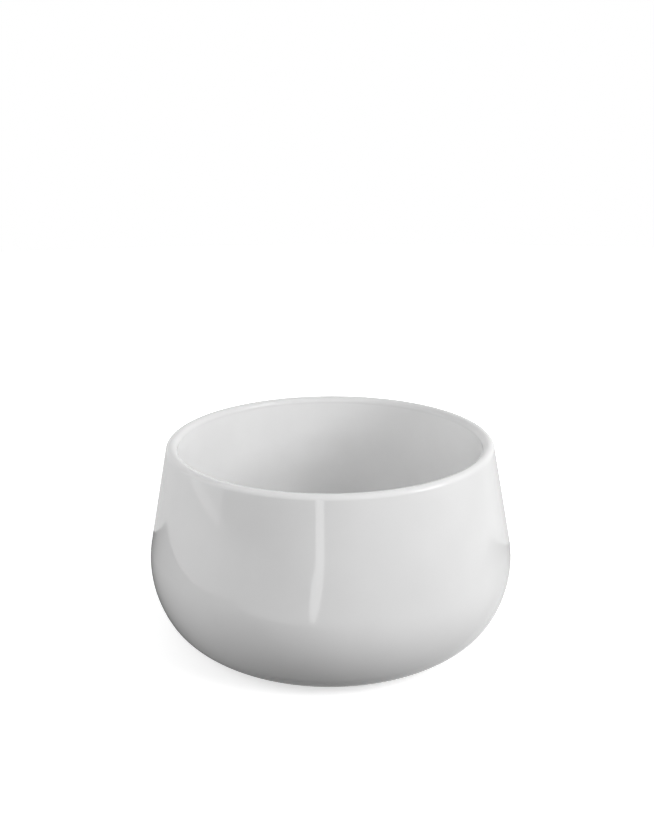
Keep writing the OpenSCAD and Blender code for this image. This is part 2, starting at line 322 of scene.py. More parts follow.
@dataclass(frozen=True)
class BiscuitChina(Finish):
    """Vitreous china left without glaze, ground flat: dull, finely grained and rubbed grey where it stood.

    Attributes:
        marks_mm: Width of the rubbed marks.
        grain_mm: Grain of the body, which is about 0.2 mm and is drawn wider so that it shows.
        grain_tones: Colours that the grain gives the body, darker and lighter.
        grain_reached: Values of the grain at which those colours are reached.
        grain_height_mm: Height of the grain.
    """

    name: str = "ground_biscuit_china"
    slot: Slot = Slot.WHITE_GLAZE
    tones: tuple[str, str] = ("#DBD5C9", "#B9B3A8")
    reached: Point = (0.52, 0.75)
    rough: Point = (0.85, 0.6)
    marks_mm: float = 22.0
    grain_mm: float = 0.8
    grain_tones: tuple[str, str] = ("#EDE9E2", "#FFFFFF")
    grain_reached: Point = (0.35, 0.6)
    grain_height_mm: float = 0.06

    def dress(self, tree: NodeTree, where: NodeSocket) -> Inputs:
        """Adds the grain, and the marks of what it stood on.

        Args:
            tree: Node tree of the material.
            where: Place on the object, in metres.

        Returns:
            What feeds the shader's sockets.
        """
        pattern = {"Vector": where, "Scale": grain(self.marks_mm), "Detail": 5.0, "Roughness": 0.7}
        marks = add(tree, "TexNoise", pattern).outputs["Fac"]
        made = self.vary(tree, marks, marks)
        speckle = add(tree, "TexNoise", {"Vector": where, "Scale": grain(self.grain_mm), "Detail": 4.0})
        stops = tuple(zip(self.grain_reached, self.grain_tones))
        tint = add(tree, "ValToRGB", {"Fac": speckle.outputs["Fac"]}, stops)
        colours = {0: 1.0, 6: made["Base Color"], 7: tint.outputs["Color"]}
        colour = add(tree, "Mix", colours, data_type="RGBA", blend_type="MULTIPLY")
        relief = add(tree, "Bump", {"Height": speckle.outputs["Fac"], "Distance": self.grain_height_mm * MM})
        return {**made, "Base Color": colour.outputs[2], "Normal": relief.outputs["Normal"]}


@dataclass(frozen=True)
class BlackPowderCoat(Finish):
    """Brass with a black powder coat, sprayed and baked: a satin skin with a fine peel.

    Attributes:
        cloud_mm: Width of the patches of uneven sheen.
        peel_mm: Width of the peel, which is about 0.3 mm and is drawn wider so that it shows.
        peel_height_mm: Height of the peel.
        brass: Colour of the bare brass.
        chip_mm: Width of the chips in the worn edge.
        bare_beyond_mm: Distance from the axis beyond which the coat is worn off, down to the brass.
        chip_less_mm: How much sooner that is where the chips are deepest.
        chip_more_mm: How much later that is where the coat holds on.
    """

    name: str = "satin_black_powder_coat"
    slot: Slot = Slot.BLACK_FITTING
    tones: tuple[str, str] = ("#1B1B1C", "#29292A")
    reached: Point = (0.3, 0.8)
    rough: Point = (0.33, 0.48)
    cloud_mm: float = 9.0
    peel_mm: float = 0.9
    peel_height_mm: float = 0.02
    brass: str = "#B08D57"
    chip_mm: float = 2.5
    bare_beyond_mm: Optional[float] = None
    chip_less_mm: float = 0.25
    chip_more_mm: float = 0.35

    def dress(self, tree: NodeTree, where: NodeSocket) -> Inputs:
        """Adds the peel, the uneven sheen and, on a thread, crests that are worn to the brass.

        Args:
            tree: Node tree of the material.
            where: Place on the object, in metres.

        Returns:
            What feeds the shader's sockets.
        """
        cloud = add(tree, "TexNoise", {"Vector": where, "Scale": grain(self.cloud_mm), "Detail": 4.0})
        made = self.vary(tree, cloud.outputs["Fac"], cloud.outputs["Fac"])
        peel = add(tree, "TexNoise", {"Vector": where, "Scale": grain(self.peel_mm), "Detail": 2.0})
        relief = add(tree, "Bump", {"Height": peel.outputs["Fac"], "Distance": self.peel_height_mm * MM})
        made["Normal"] = relief.outputs["Normal"]
        if self.bare_beyond_mm is not None:
            chips = add(tree, "TexNoise", {"Vector": where, "Scale": grain(self.chip_mm), "Detail": 3.0})
            low = (self.bare_beyond_mm - self.chip_less_mm) * MM
            high = (self.bare_beyond_mm + self.chip_more_mm) * MM
            edge = add(tree, "MapRange", {"Value": chips.outputs["Fac"], "To Min": low, "To Max": high})
            sides = {0: off_axis(tree, where), 1: edge.outputs["Result"]}
            bare = add(tree, "Math", sides, operation="GREATER_THAN").outputs["Value"]
            colours = {0: bare, 6: made["Base Color"], 7: linear(self.brass)}
            made["Base Color"] = add(tree, "Mix", colours, data_type="RGBA").outputs[2]
            made["Metallic"] = bare
        return made


@dataclass(frozen=True)
class MouldedRubber(Finish):
    """EPDM rubber from a mould: nearly black, dull, with a grey bloom.

    Attributes:
        bloom_mm: Width of the bloom's patches.
        skin_mm: Spark-eroded mould texture, which is about 0.1 mm and is drawn wider so that it shows.
        skin_height_mm: Height of that texture.
    """

    name: str = "moulded_epdm_rubber"
    slot: Slot = Slot.BLACK_RUBBER
    tones: tuple[str, str] = ("#1E1E1E", "#343433")
    reached: Point = (0.4, 0.8)
    rough: Point = (0.6, 0.85)
    bloom_mm: float = 11.0
    skin_mm: float = 0.5
    skin_height_mm: float = 0.03

    def dress(self, tree: NodeTree, where: NodeSocket) -> Inputs:
        """Adds the bloom in patches, and the fine texture of the mould.

        Args:
            tree: Node tree of the material.
            where: Place on the object, in metres.

        Returns:
            What feeds the shader's sockets.
        """
        pattern = {"Vector": where, "Scale": grain(self.bloom_mm), "Detail": 5.0, "Roughness": 0.65}
        bloom = add(tree, "TexNoise", pattern).outputs["Fac"]
        skin = add(tree, "TexNoise", {"Vector": where, "Scale": grain(self.skin_mm), "Detail": 2.0})
        relief = add(tree, "Bump", {"Height": skin.outputs["Fac"], "Distance": self.skin_height_mm * MM})
        return {**self.vary(tree, bloom, bloom), "Normal": relief.outputs["Normal"]}


@dataclass(frozen=True)
class MouldedAcetal(Finish):
    """Acetal from a mould: milky white and waxy, so that light goes a little way in.

    Attributes:
        flow_mm: Width of the flow marks.
        flow_height_mm: Height of the flow marks.
        milky: Share of the light that spreads under the surface.
        spread_mm: How far it spreads, for each of red, green and blue.
    """

    name: str = "moulded_white_acetal"
    slot: Slot = Slot.WHITE_PLASTIC
    tones: tuple[str, str] = ("#D9D5CA", "#E4E1D8")
    reached: Point = (0.35, 0.65)
    rough: Point = (0.3, 0.45)
    ior: float = 1.48
    flow_mm: float = 6.0
    flow_height_mm: float = 0.02
    milky: float = 0.15
    spread_mm: Place = (1.0, 0.9, 0.75)

    def dress(self, tree: NodeTree, where: NodeSocket) -> Inputs:
        """Adds flow marks, and a slight spread of light under the surface.

        Args:
            tree: Node tree of the material.
            where: Place on the object, in metres.

        Returns:
            What the shader's sockets are set to, and what feeds them.
        """
        pattern = {"Vector": where, "Scale": grain(self.flow_mm), "Detail": 3.0, "Distortion": 0.8}
        marks = add(tree, "TexNoise", pattern).outputs["Fac"]
        relief = add(tree, "Bump", {"Height": marks, "Distance": self.flow_height_mm * MM})
        return {
            **self.vary(tree, marks, marks),
            "Normal": relief.outputs["Normal"],
            "Subsurface Weight": self.milky,
            "Subsurface Radius": self.spread_mm,
            "Subsurface Scale": MM,
        }


@dataclass(frozen=True)
class TurnedMetal(Finish):
    """Bare metal turned on a lathe: fine rings about the axis, and a little tarnish.

    Attributes:
        spot_mm: Width of the tarnished spots.
        feed_mm: Distance between the tool's rings. A finishing cut's are about 0.1 mm apart, and they are
            drawn wider so that they show.
        ring_height_mm: Height of the rings.
    """

    name: str = "turned_brass"
    slot: Slot = Slot.BRASS
    tones: tuple[str, str] = ("#D9B66C", "#A8844A")
    reached: Point = (0.4, 0.75)
    rough: Point = (0.2, 0.42)
    rough_over: Point = (0.3, 0.7)
    metallic: float = 1.0
    spot_mm: float = 7.0
    feed_mm: float = 0.35
    ring_height_mm: float = 0.004

    def dress(self, tree: NodeTree, where: NodeSocket) -> Inputs:
        """Adds the rings along and across the axis, and the tarnish.

        Args:
            tree: Node tree of the material.
            where: Place on the object, in metres.

        Returns:
            What feeds the shader's sockets.
        """
        pattern = {"Vector": where, "Scale": grain(self.spot_mm), "Detail": 6.0, "Roughness": 0.6}
        spots = add(tree, "TexNoise", pattern).outputs["Fac"]
        height = add(tree, "SeparateXYZ", {"Vector": where}).outputs["Z"]
        along = add(tree, "Math", {0: off_axis(tree, where), 1: height}, operation="ADD").outputs["Value"]
        rings = add(tree, "Math", {0: along, 1: math.tau / (self.feed_mm * MM)}, operation="MULTIPLY")
        wave = add(tree, "Math", {0: rings.outputs["Value"]}, operation="SINE").outputs["Value"]
        relief = add(tree, "Bump", {"Height": wave, "Distance": self.ring_height_mm * MM})
        return {**self.vary(tree, spots, spots), "Normal": relief.outputs["Normal"]}


class Coat(Enum):
    """Every finish of the object."""

    CHINA = GlazedChina()
    BISCUIT = BiscuitChina()
    BLACK = BlackPowderCoat()
    BLACK_THREAD = BlackPowderCoat("worn_black_thread", bare_beyond_mm=20.75)
    RUBBER = MouldedRubber()
    ACETAL = MouldedAcetal()
    BRASS = TurnedMetal()
    STEEL = TurnedMetal(
        "drawn_stainless_steel", Slot.STEEL, ("#C9CBCD", "#A9ACB0"), rough=(0.18, 0.32), feed_mm=0.5
    )


# Turned and milled shapes


@dataclass(frozen=True)
class Corner:
    """A corner of a turned section.

    Attributes:
        r: Distance from the axis.
        z: Height.
        radius: Radius that rounds the corner, or 0.
        finish: Index of the material from here to the next corner.
    """

    r: float
    z: float
    radius: float = 0.0
    finish: int = 0


@dataclass(frozen=True)
class Row:
    """A row of points about the axis.

    Attributes:
        place: Distance from the axis and height, as a function of the angle.
        finish: Index of the material from here to the next row.
    """

    place: Callable[[float], Point]
    finish: int = 0


def arc(centre: Point, radius: float, start: float, end: float, step: float = 1.0) -> list[Corner]:
    """Points along an arc of a section.

    Args:
        centre: Centre of the arc, as distance from the axis and height.
        radius: Its radius.
        start: First angle in degrees, from straight outwards.
        end: Last angle.
        step: Most degrees from point to point.

    Returns:
        The points, both ends among them.
    """
    count = max(2, math.ceil(abs(end - start) / step))
    angles = (math.radians(start + (end - start) * i / count) for i in range(count + 1))
    return [Corner(centre[0] + radius * math.cos(a), centre[1] + radius * math.sin(a)) for a in angles]


def ring(
    inner: float, outer: float, low: float, high: float, bore_round: float, edge_round: float
) -> list[Corner]:
    """Section of a plain ring, from its lower inner corner outwards and up.

    Args:
        inner: Radius of its bore.
        outer: Outer radius.
        low: Height of its lower face.
        high: Height of its upper face.
        bore_round: Radius that rounds the corners of its bore.
        edge_round: Radius that rounds its outer corners.

    Returns:
        The four corners.
    """
    return [
        Corner(inner, low, bore_round),
        Corner(outer, low, edge_round),
        Corner(outer, high, edge_round),
        Corner(inner, high, bore_round),
    ]


def section(corners: Sequence[Corner], closed: bool = True) -> list[Row]:
    """Rounds the corners of a section, and adds points that keep its flats flat in the shading.

    Args:
        corners: Corners in order.
        closed: Whether the last corner leads back to the first.

    Returns:
        A row for each point of the finished section.
    """
    most_of_side, most_degrees = 0.45, 15
    most_soft, soft_share = 0.35, 0.2
    made: list[Corner] = []
    for i, corner in enumerate(corners):
        inner = closed or 0 < i < len(corners) - 1
        if not (inner and corner.radius):
            made.append(corner)
            continue
        here = Vector((corner.r, corner.z))
        before, after = corners[i - 1], corners[(i + 1) % len(corners)]
        back, ahead = Vector((before.r, before.z)) - here, Vector((after.r, after.z)) - here
        half = back.angle(ahead) / 2
        shorter = min(back.length, ahead.length)
        reach = min(corner.radius / math.tan(half), most_of_side * shorter)
        radius = reach * math.tan(half)
        back.normalize()
        ahead.normalize()
        centre = here + (back + ahead).normalized() * (radius / math.sin(half))
        start, end = here + back * reach, here + ahead * reach
        from_angle, to_angle = (math.atan2(*(p - centre).yx) for p in (start, end))
        sweep = (to_angle - from_angle + math.pi) % math.tau - math.pi
        steps = max(3, math.ceil(abs(math.degrees(sweep)) / most_degrees))
        soft = min(most_soft, soft_share * reach)
        made.append(Corner(*(start + back * soft), finish=before.finish))
        for k in range(steps + 1):
            a = from_angle + sweep * k / steps
            r, z = centre.x + radius * math.cos(a), centre.y + radius * math.sin(a)
            made.append(Corner(r, z, finish=corner.finish))
        made.append(Corner(*(end + ahead * soft), finish=corner.finish))
    return [Row(lambda _, at=(c.r, c.z): at, c.finish) for c in made]


@dataclass(frozen=True)
class Thread:
    """A right-hand screw thread on a turned surface.

    Attributes:
        radius: Outer radius.
        low: Height where it begins.
        high: Height where it ends.
        pitch: Rise of one turn.
        depth: Depth of its groove.
        steps: Rows to one turn.
        finish: Index of its material.
        flat: How much the crests and the grooves are flattened, where 1 is not at all.
        run_out: Turns over which each end runs out.
    """

    radius: float
    low: float
    high: float
    pitch: float
    depth: float
    steps: int = 12
    finish: int = 0
    flat: float = 1.3
    run_out: float = 0.8

    def radius_at(self, z: float, angle: float) -> float:
        """Radius of the thread, with both ends running out.

        Args:
            z: Height.
            angle: Angle about the axis.

        Returns:
            The radius.
        """
        turn = z / self.pitch - angle / math.tau
        crest = 0.5 + 0.5 * max(-1.0, min(1.0, self.flat * math.cos(math.tau * turn)))
        room = min(z - self.low, self.high - z) / (self.run_out * self.pitch)
        fade = max(0.0, min(1.0, room))
        return self.radius - self.depth * fade * (1 - crest)

    def rows(self) -> list[Row]:
        """Rows from the low end to the high end.

        Returns:
            The rows, both ends among them.
        """
        count = math.ceil((self.high - self.low) / self.pitch * self.steps)
        heights = [self.low + (self.high - self.low) * i / count for i in range(count + 1)]
        return [Row(lambda a, z=z: (self.radius_at(z, a), z), self.finish) for z in heights]


@dataclass(frozen=True)
class Hexagon:
    """A hexagon turned down at its corners.

    Attributes:
        flats: Width across the flats.
        low: Height of its lower face.
        high: Height of its upper face.
        face_r: Radius of the face that the chamfer leaves.
        slope: Fall of the chamfer for each millimetre outwards.
        high_chamfer: Whether the upper corners are chamfered too.
        broken: How much is taken off its six edges.
    """

    flats: float
    low: float
    high: float
    face_r: float
    slope: float = 0.577
    high_chamfer: bool = True
    broken: float = 0.2

    def reach(self, angle: float) -> float:
        """Radius of the hexagon at an angle, with its edges broken."""
        off = (angle + 1e-9) % (math.pi / 3) - math.pi / 6
        return min(self.flats / 2 / math.cos(off), self.flats / 2 / math.cos(math.pi / 6) - self.broken)

    def drop(self, angle: float) -> float:
        """Fall of the chamfer at the hexagon's edge at an angle."""
        return max(0.0, self.reach(angle) - self.face_r) * self.slope

    def rows(self) -> list[Row]:
        """Rows from the lower face's edge up to the upper face's edge.

        Returns:
            Two rows for each edge with a chamfer, and one for an edge without.
        """
        made = [
            Row(lambda a: (min(self.reach(a), self.face_r), self.low)),
            Row(lambda a: (self.reach(a), self.low + self.drop(a))),
        ]
        if self.high_chamfer:
            made.append(Row(lambda a: (self.reach(a), self.high - self.drop(a))))
            made.append(Row(lambda a: (min(self.reach(a), self.face_r), self.high)))
        else:
            made.append(Row(lambda a: (self.reach(a), self.high)))
        return made


def put(name: str, data: ID) -> Object:
    """Makes an object of a mesh, a lamp or a camera, and adds it to the scene.

    Args:
        name: Name of the object.
        data: What it shows.

    Returns:
        The object.
    """
    made = bpy.data.objects.new(name, data)
    bpy.context.scene.collection.objects.link(made)
    return made


def shell(name: str, points: Sequence[Sequence[float]], faces: Sequence[Sequence[int]]) -> Object:
    """Makes an object from points and faces.

    Args:
        name: Name of the object.
        points: Its points in metres.
        faces: Indices of the points of each face.

    Returns:
        The object.
    """
    mesh = bpy.data.meshes.new(name)
    mesh.from_pydata(points, [], faces)
    return put(name, mesh)


def tidy(mesh: Mesh, sharp: float) -> None:
    """Points a closed mesh's faces outwards, and shades it.

    Args:
        mesh: The mesh.
        sharp: Least angle between faces, in degrees, that shows as an edge.
    """
    work = bmesh.new()
    work.from_mesh(mesh)
    bmesh.ops.recalc_face_normals(work, faces=work.faces)
    work.to_mesh(mesh)
    work.free()
    mesh.shade_smooth()
    mesh.set_sharp_from_angle(angle=math.radians(sharp))
    mesh.update()


def revolve(
    name: str, rows: Sequence[Row], sides: int = 96, closed: bool = True, sharp: float = 32.0
) -> Object:
    """Makes a mesh from rows about the Z axis.

    Args:
        name: Name of the object.
        rows: Rows in order.
        sides: Points in a row.
        closed: Whether the last row meets the first. An open surface ends on the axis.
        sharp: Least angle between faces, in degrees, that shows as an edge.

    Returns:
        The object, smooth but for its sharp edges.
    """
    angles = [math.tau * j / sides for j in range(sides)]
    points: list[Place] = []
    rings: list[list[int]] = []
    for row in rows:
        places = [row.place(a) for a in angles]
        if max(r for r, _ in places) < 1e-6:
            rings.append([len(points)] * sides)
            points.append((0.0, 0.0, places[0][1] * MM))
            continue
        rings.append(list(range(len(points), len(points) + sides)))
        points += [(r * math.cos(a) * MM, r * math.sin(a) * MM, z * MM) for (r, z), a in zip(places, angles)]
    faces: list[list[int]] = []
    indices: list[int] = []
    for i in range(len(rings) if closed else len(rings) - 1):
        near, far = rings[i], rings[(i + 1) % len(rings)]
        for j in range(sides):
            k = (j + 1) % sides
            corners = list(dict.fromkeys([near[j], near[k], far[k], far[j]]))
            if len(corners) > 2:
                faces.append(corners)
                indices.append(rows[i].finish)
    made = shell(name, points, faces)
    made.data.polygons.foreach_set("material_index", indices)
    tidy(made.data, sharp)
    return made


def turned(name: str, corners: Sequence[Corner], sides: int = 96, closed: bool = True) -> Object:
    """Makes a turned mesh from the corners of its section, a loop unless it is open and ends on the axis."""
    return revolve(name, section(corners, closed), sides, closed)


def block(name: str, low: Sequence[float], high: Sequence[float], bevel: float) -> Object:
    """Makes a block with rounded edges.

    Args:
        name: Name of the object.
        low: Lowest corner in millimetres.
        high: Highest corner.
        bevel: Radius of its edges.

    Returns:
        The object.
    """
    work = bmesh.new()
    bmesh.ops.create_cube(work, size=1)
    size = Vector(high) - Vector(low)
    middle = (Vector(high) + Vector(low)) / 2
    bmesh.ops.transform(work, matrix=Matrix.LocRotScale(middle, None, size), verts=work.verts)
    bmesh.ops.bevel(work, geom=work.edges[:], offset=bevel, segments=3, affect="EDGES", profile=0.5)
    bmesh.ops.scale(work, vec=(MM, MM, MM), verts=work.verts)
    mesh = bpy.data.meshes.new(name)
    work.to_mesh(mesh)
    work.free()
    tidy(mesh, 40.0)
    return put(name, mesh)


def merge(target: Object, extra: Sequence[Object]) -> None:
    """Adds other objects' meshes to an object, and removes them.

    Args:
        target: Object that keeps everything.
        extra: Objects that go into it.
    """
    work = bmesh.new()
    work.from_mesh(target.data)
    for part in extra:
        mesh = part.data
        work.from_mesh(mesh)
        bpy.data.objects.remove(part)
        bpy.data.meshes.remove(mesh)
    work.to_mesh(target.data)
    work.free()


# Sub-assemblies


@dataclass
class Assembly:
    """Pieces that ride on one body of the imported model, each in the place of a CAD node."""

    rides_on: ClassVar[Body] = Body.BASIN

    def fit(self, made: Object, node: str, *coats: Coat) -> Object:
        """Puts a new piece in the place of its CAD node.

        Args:
            made: The piece.
            node: CAD node that it stands for.
            coats: Its finishes, in the order of their indices.

        Returns:
            The piece.
        """
        for coat in coats:
            made.data.materials.append(coat.value.material())
        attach(made, self.rides_on.value)
        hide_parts(node)
        return made

    def build(self) -> list[Object]:
        """Makes and dresses every piece, and returns them."""
        raise NotImplementedError


@dataclass
class Bowl(Assembly):
    """The casting: round lip, leaning wall, rolled belly, foot ring, sloping floor and the waste's rebate."""

    height: float = 205.0
    belly_r: float = 200.0
    belly_level: float = 75.0
    rim_r: float = 177.0
    wall: float = 12.0
    belly_radius: float = 105.0
    foot_round: float = 50.0
    inner_round: float = 42.0
    floor_level: float = 17.0
    floor_fall: float = 2.5
    foot_recess: float = 5.0
    foot_width: float = 12.0
    foot_break: float = 2.0
    hole_r: float = 23.0
    rebate_r: float = 35.0
    rebate_depth: float = 3.0
    sides: int = 320
    biscuit_index: int = 1
    bare_edge: float = -83.0

    def foot(self, centre: Vector, turn_under: float) -> list[Corner]:
        """Arc from the foot ring's face up to the belly, without glaze where it was ground.

        Args:
            centre: Centre of the arc in the section.
            turn_under: Angle in degrees at which it meets the belly.

        Returns:
            The points of the arc.
        """
        made = arc(centre, self.foot_round, -90, turn_under, 1.5)
        for i, corner in enumerate(made):
            if math.degrees(math.atan2(corner.z - centre.y, corner.r - centre.x)) < self.bare_edge:
                made[i] = Corner(corner.r, corner.z, finish=self.biscuit_index)
        return made

    def corners(self) -> list[Corner]:
        """Section of the casting, from the drain hole's lower edge outwards, up, over the lip and back.

        Returns:
            The corners. Each arc runs into the next without a kink.
        """
        lip = self.wall / 2
        lip_centre = Vector((self.rim_r - lip, self.height - lip))
        belly_centre = Vector((self.belly_r - self.belly_radius, self.belly_level))
        to_lip = lip_centre - belly_centre
        off_wall = math.acos((self.belly_radius - lip) / to_lip.length)
        lean = math.degrees(math.atan2(to_lip.y, to_lip.x) - off_wall)
        drop = self.belly_level - self.foot_round
        foot_reach = math.sqrt((self.belly_radius - self.foot_round) ** 2 - drop**2)
        foot_centre = belly_centre + Vector((foot_reach, -drop))
        turn_under = -math.degrees(math.atan2(drop, foot_reach))
        inner_belly = self.belly_radius - self.wall
        fall = math.radians(self.floor_fall)
        along, up = Vector((math.cos(fall), math.sin(fall))), Vector((-math.sin(fall), math.cos(fall)))
        floor_start = Vector((self.rebate_r, self.floor_level))
        from_belly = floor_start + self.inner_round * up - belly_centre
        part = from_belly.dot(along)
        run = math.sqrt(part**2 - from_belly.length_squared + (inner_belly - self.inner_round) ** 2) - part
        inner_centre = floor_start + run * along + self.inner_round * up
        away = inner_centre - belly_centre
        meet = math.degrees(math.atan2(away.y, away.x))
        foot_inner = foot_centre.x - self.foot_width
        rebate = self.floor_level - self.rebate_depth
        return [
            Corner(self.hole_r, self.foot_recess, 1.2),
            Corner(foot_inner - self.foot_break, self.foot_recess, 1.5),
            Corner(foot_inner, 0.0, 0.8, self.biscuit_index),
            *self.foot(foot_centre, turn_under),
            *arc(belly_centre, self.belly_radius, turn_under, lean, 0.75)[1:],
            *arc(lip_centre, lip, lean, lean + 180, 5.0),
            *arc(belly_centre, inner_belly, lean, meet, 1.0),
            *arc(inner_centre, self.inner_round, meet, self.floor_fall - 90, 1.5)[1:],
            Corner(self.rebate_r, self.floor_level, 1.6),
            Corner(self.rebate_r, rebate, 1.0),
            Corner(self.hole_r, rebate, 1.2),
        ]

    def build(self) -> list[Object]:
        """Makes the casting, and returns it."""
        made = turned("china_bowl", self.corners(), self.sides)
        return [self.fit(made, "basin_bowl", Coat.CHINA, Coat.BISCUIT)]


@dataclass
class Waste(Assembly):
    """The threaded waste, and the stack that clamps it to the bowl."""

    thread_r: float = 20.955
    pitch: float = 2.309
    thread_depth: float = 1.2
    thread_top: float = 10.0
    neck_low: float = 12.0
    bore_r: float = 17.0
    flange_r: float = 32.5
    flange_under: float = 16.0
    flange_top: float = 18.5
    flange_edge: float = 1.2
    flange_slope: float = 3.0
    seat_r: float = 25.5
    seat_depth: float = 4.5
    throat: float = 4.0
    tail_end: float = -54.0
    tail_chamfer: float = 1.0
    relief_low: float = -34.0
    relief_high: float = -32.0
    relief_depth: float = 1.5
    hub_in: float = 8.55
    hub_out: float = 11.5
    hub_low: float = 0.0
    hub_high: float = 6.0
    arm_width: float = 3.0
    arm_height: float = 5.0
    arm_into_hub: float = 1.5
    arm_into_wall: float = 0.6
    arm_round: float = 0.6
    arms: int = 4
    gap: float = 0.25
    screw_gap: float = 0.05
    gasket_inset: float = 1.5
    washer_r: float = 29.0
    recess: float = 5.0
    cone_r: float = 22.75
    cone_lip: float = 0.7
    cone_top: float = 9.0
    cone_low: float = 1.0
    slip_low: float = -0.5
    nut_low: float = -12.5
    nut_flats: float = 50.0
    nut_face_inset: float = 2.0
    nut_mouth: float = 1.2
    collar: float = 2.0
    collar_undercut: float = 0.3
    rebate: float = 14.0
    sides: int = 144
    worn_index: int = 1

    def holder(self) -> list[Object]:
        """Makes the ring that holds the cartridge, and its arms.

        Returns:
            The ring and the arms, which are still loose.
        """
        made = [turned("hub", ring(self.hub_in, self.hub_out, self.hub_low, self.hub_high, 0.4, 0.5))]
        for i in range(self.arms):
            low = (self.hub_out - self.arm_into_hub, -self.arm_width / 2, self.hub_low)
            high = (self.bore_r + self.arm_into_wall, self.arm_width / 2, self.hub_low + self.arm_height)
            arm = block(f"arm_{i}", low, high, self.arm_round)
            arm.data.transform(Matrix.Rotation(math.pi / 4 + i * math.tau / self.arms, 4, "Z"))
            made.append(arm)
        return made

    def body(self) -> Object:
        """Makes the threaded body, with the ring on arms that holds the cartridge.

        Returns:
            The piece.
        """
        worn = self.worn_index
        groove = self.thread_r - self.relief_depth
        throat_top = self.flange_top - self.seat_depth
        cut = {"pitch": self.pitch, "depth": self.thread_depth, "finish": worn}
        below = [
            Corner(self.bore_r, self.tail_end, finish=worn),
            Corner(self.thread_r - self.tail_chamfer, self.tail_end, finish=worn),
        ]
        waist = [Corner(groove, self.relief_low, finish=worn), Corner(groove, self.relief_high, finish=worn)]
        above = [
            Corner(self.thread_r, self.neck_low),
            Corner(self.thread_r, self.flange_under, 0.3),
            Corner(self.flange_r, self.flange_under, 0.25),
            Corner(self.flange_r, self.flange_under + self.flange_edge, 0.6),
            Corner(self.flange_r - self.flange_slope, self.flange_top, 1.0),
            Corner(self.seat_r, self.flange_top, 0.5),
            Corner(self.bore_r, throat_top, 0.8),
            Corner(self.bore_r, throat_top - self.throat),
        ]
        rows = [
            *section(below, closed=False),
            *Thread(self.thread_r, self.tail_end + self.tail_chamfer, self.relief_low, **cut).rows(),
            *section(waist, closed=False),
            *Thread(self.thread_r, self.relief_high, self.thread_top, **cut).rows(),
            *section(above, closed=False),
        ]
        made = revolve("threaded_waste", rows, self.sides, sharp=40.0)
        merge(made, self.holder())
        return self.fit(made, "waste_body", Coat.BLACK, Coat.BLACK_THREAD)

    def gaskets(self) -> list[Object]:
        """Makes the flange gasket, the cone washer and the slip washer.

        Returns:
            The three pieces.
        """
        inner = self.thread_r + self.gap
        gasket = ring(inner, self.flange_r - self.gasket_inset, self.rebate, self.flange_under, 0.4, 0.5)
        cone = [
            Corner(inner, self.cone_low, 0.4),
            Corner(self.washer_r, self.cone_low, 0.7),
            Corner(self.washer_r, self.recess, 0.7),
            Corner(self.cone_r, self.recess, 0.3),
            Corner(inner + self.cone_lip, self.cone_top, 0.3),
            Corner(inner, self.cone_top, 0.2),
        ]
        slip = ring(inner, self.washer_r, self.slip_low, self.cone_low, 0.2, 0.3)
        return [
            self.fit(turned("rubber_flange_gasket", gasket), "flange_gasket", Coat.RUBBER),
            self.fit(turned("rubber_cone_washer", cone), "cone_washer", Coat.RUBBER),
            self.fit(turned("acetal_slip_washer", slip), "slip_washer", Coat.ACETAL),
        ]

    def nut(self) -> Object:
        """Makes the back nut: a hexagon with turned corners, under a round collar.

        Returns:
            The piece.
        """
        bore = self.thread_r + self.screw_gap
        seat = self.slip_low - self.collar
        face_r = self.nut_flats / 2 / math.cos(math.pi / 6) - self.nut_face_inset
        hexagon = Hexagon(self.nut_flats, self.nut_low, seat, face_r, slope=1.0, high_chamfer=False)
        collar = [
            Corner(self.washer_r - self.collar_undercut, seat),
            Corner(self.washer_r, seat, 0.25),
            Corner(self.washer_r, self.slip_low, 0.5),
            Corner(bore, self.slip_low, 0.3),
            Corner(bore, seat),
            Corner(bore, self.nut_low + self.nut_mouth),
            Corner(bore + self.nut_mouth, self.nut_low),
        ]
        rows = [*hexagon.rows(), *section(collar, closed=False)]
        made = revolve("brass_back_nut", rows, self.sides, sharp=24.0)
        return self.fit(made, "back_nut", Coat.BRASS)

    def build(self) -> list[Object]:
        """Makes the waste and its stack, and returns the five pieces."""
        return [self.body(), *self.gaskets(), self.nut()]


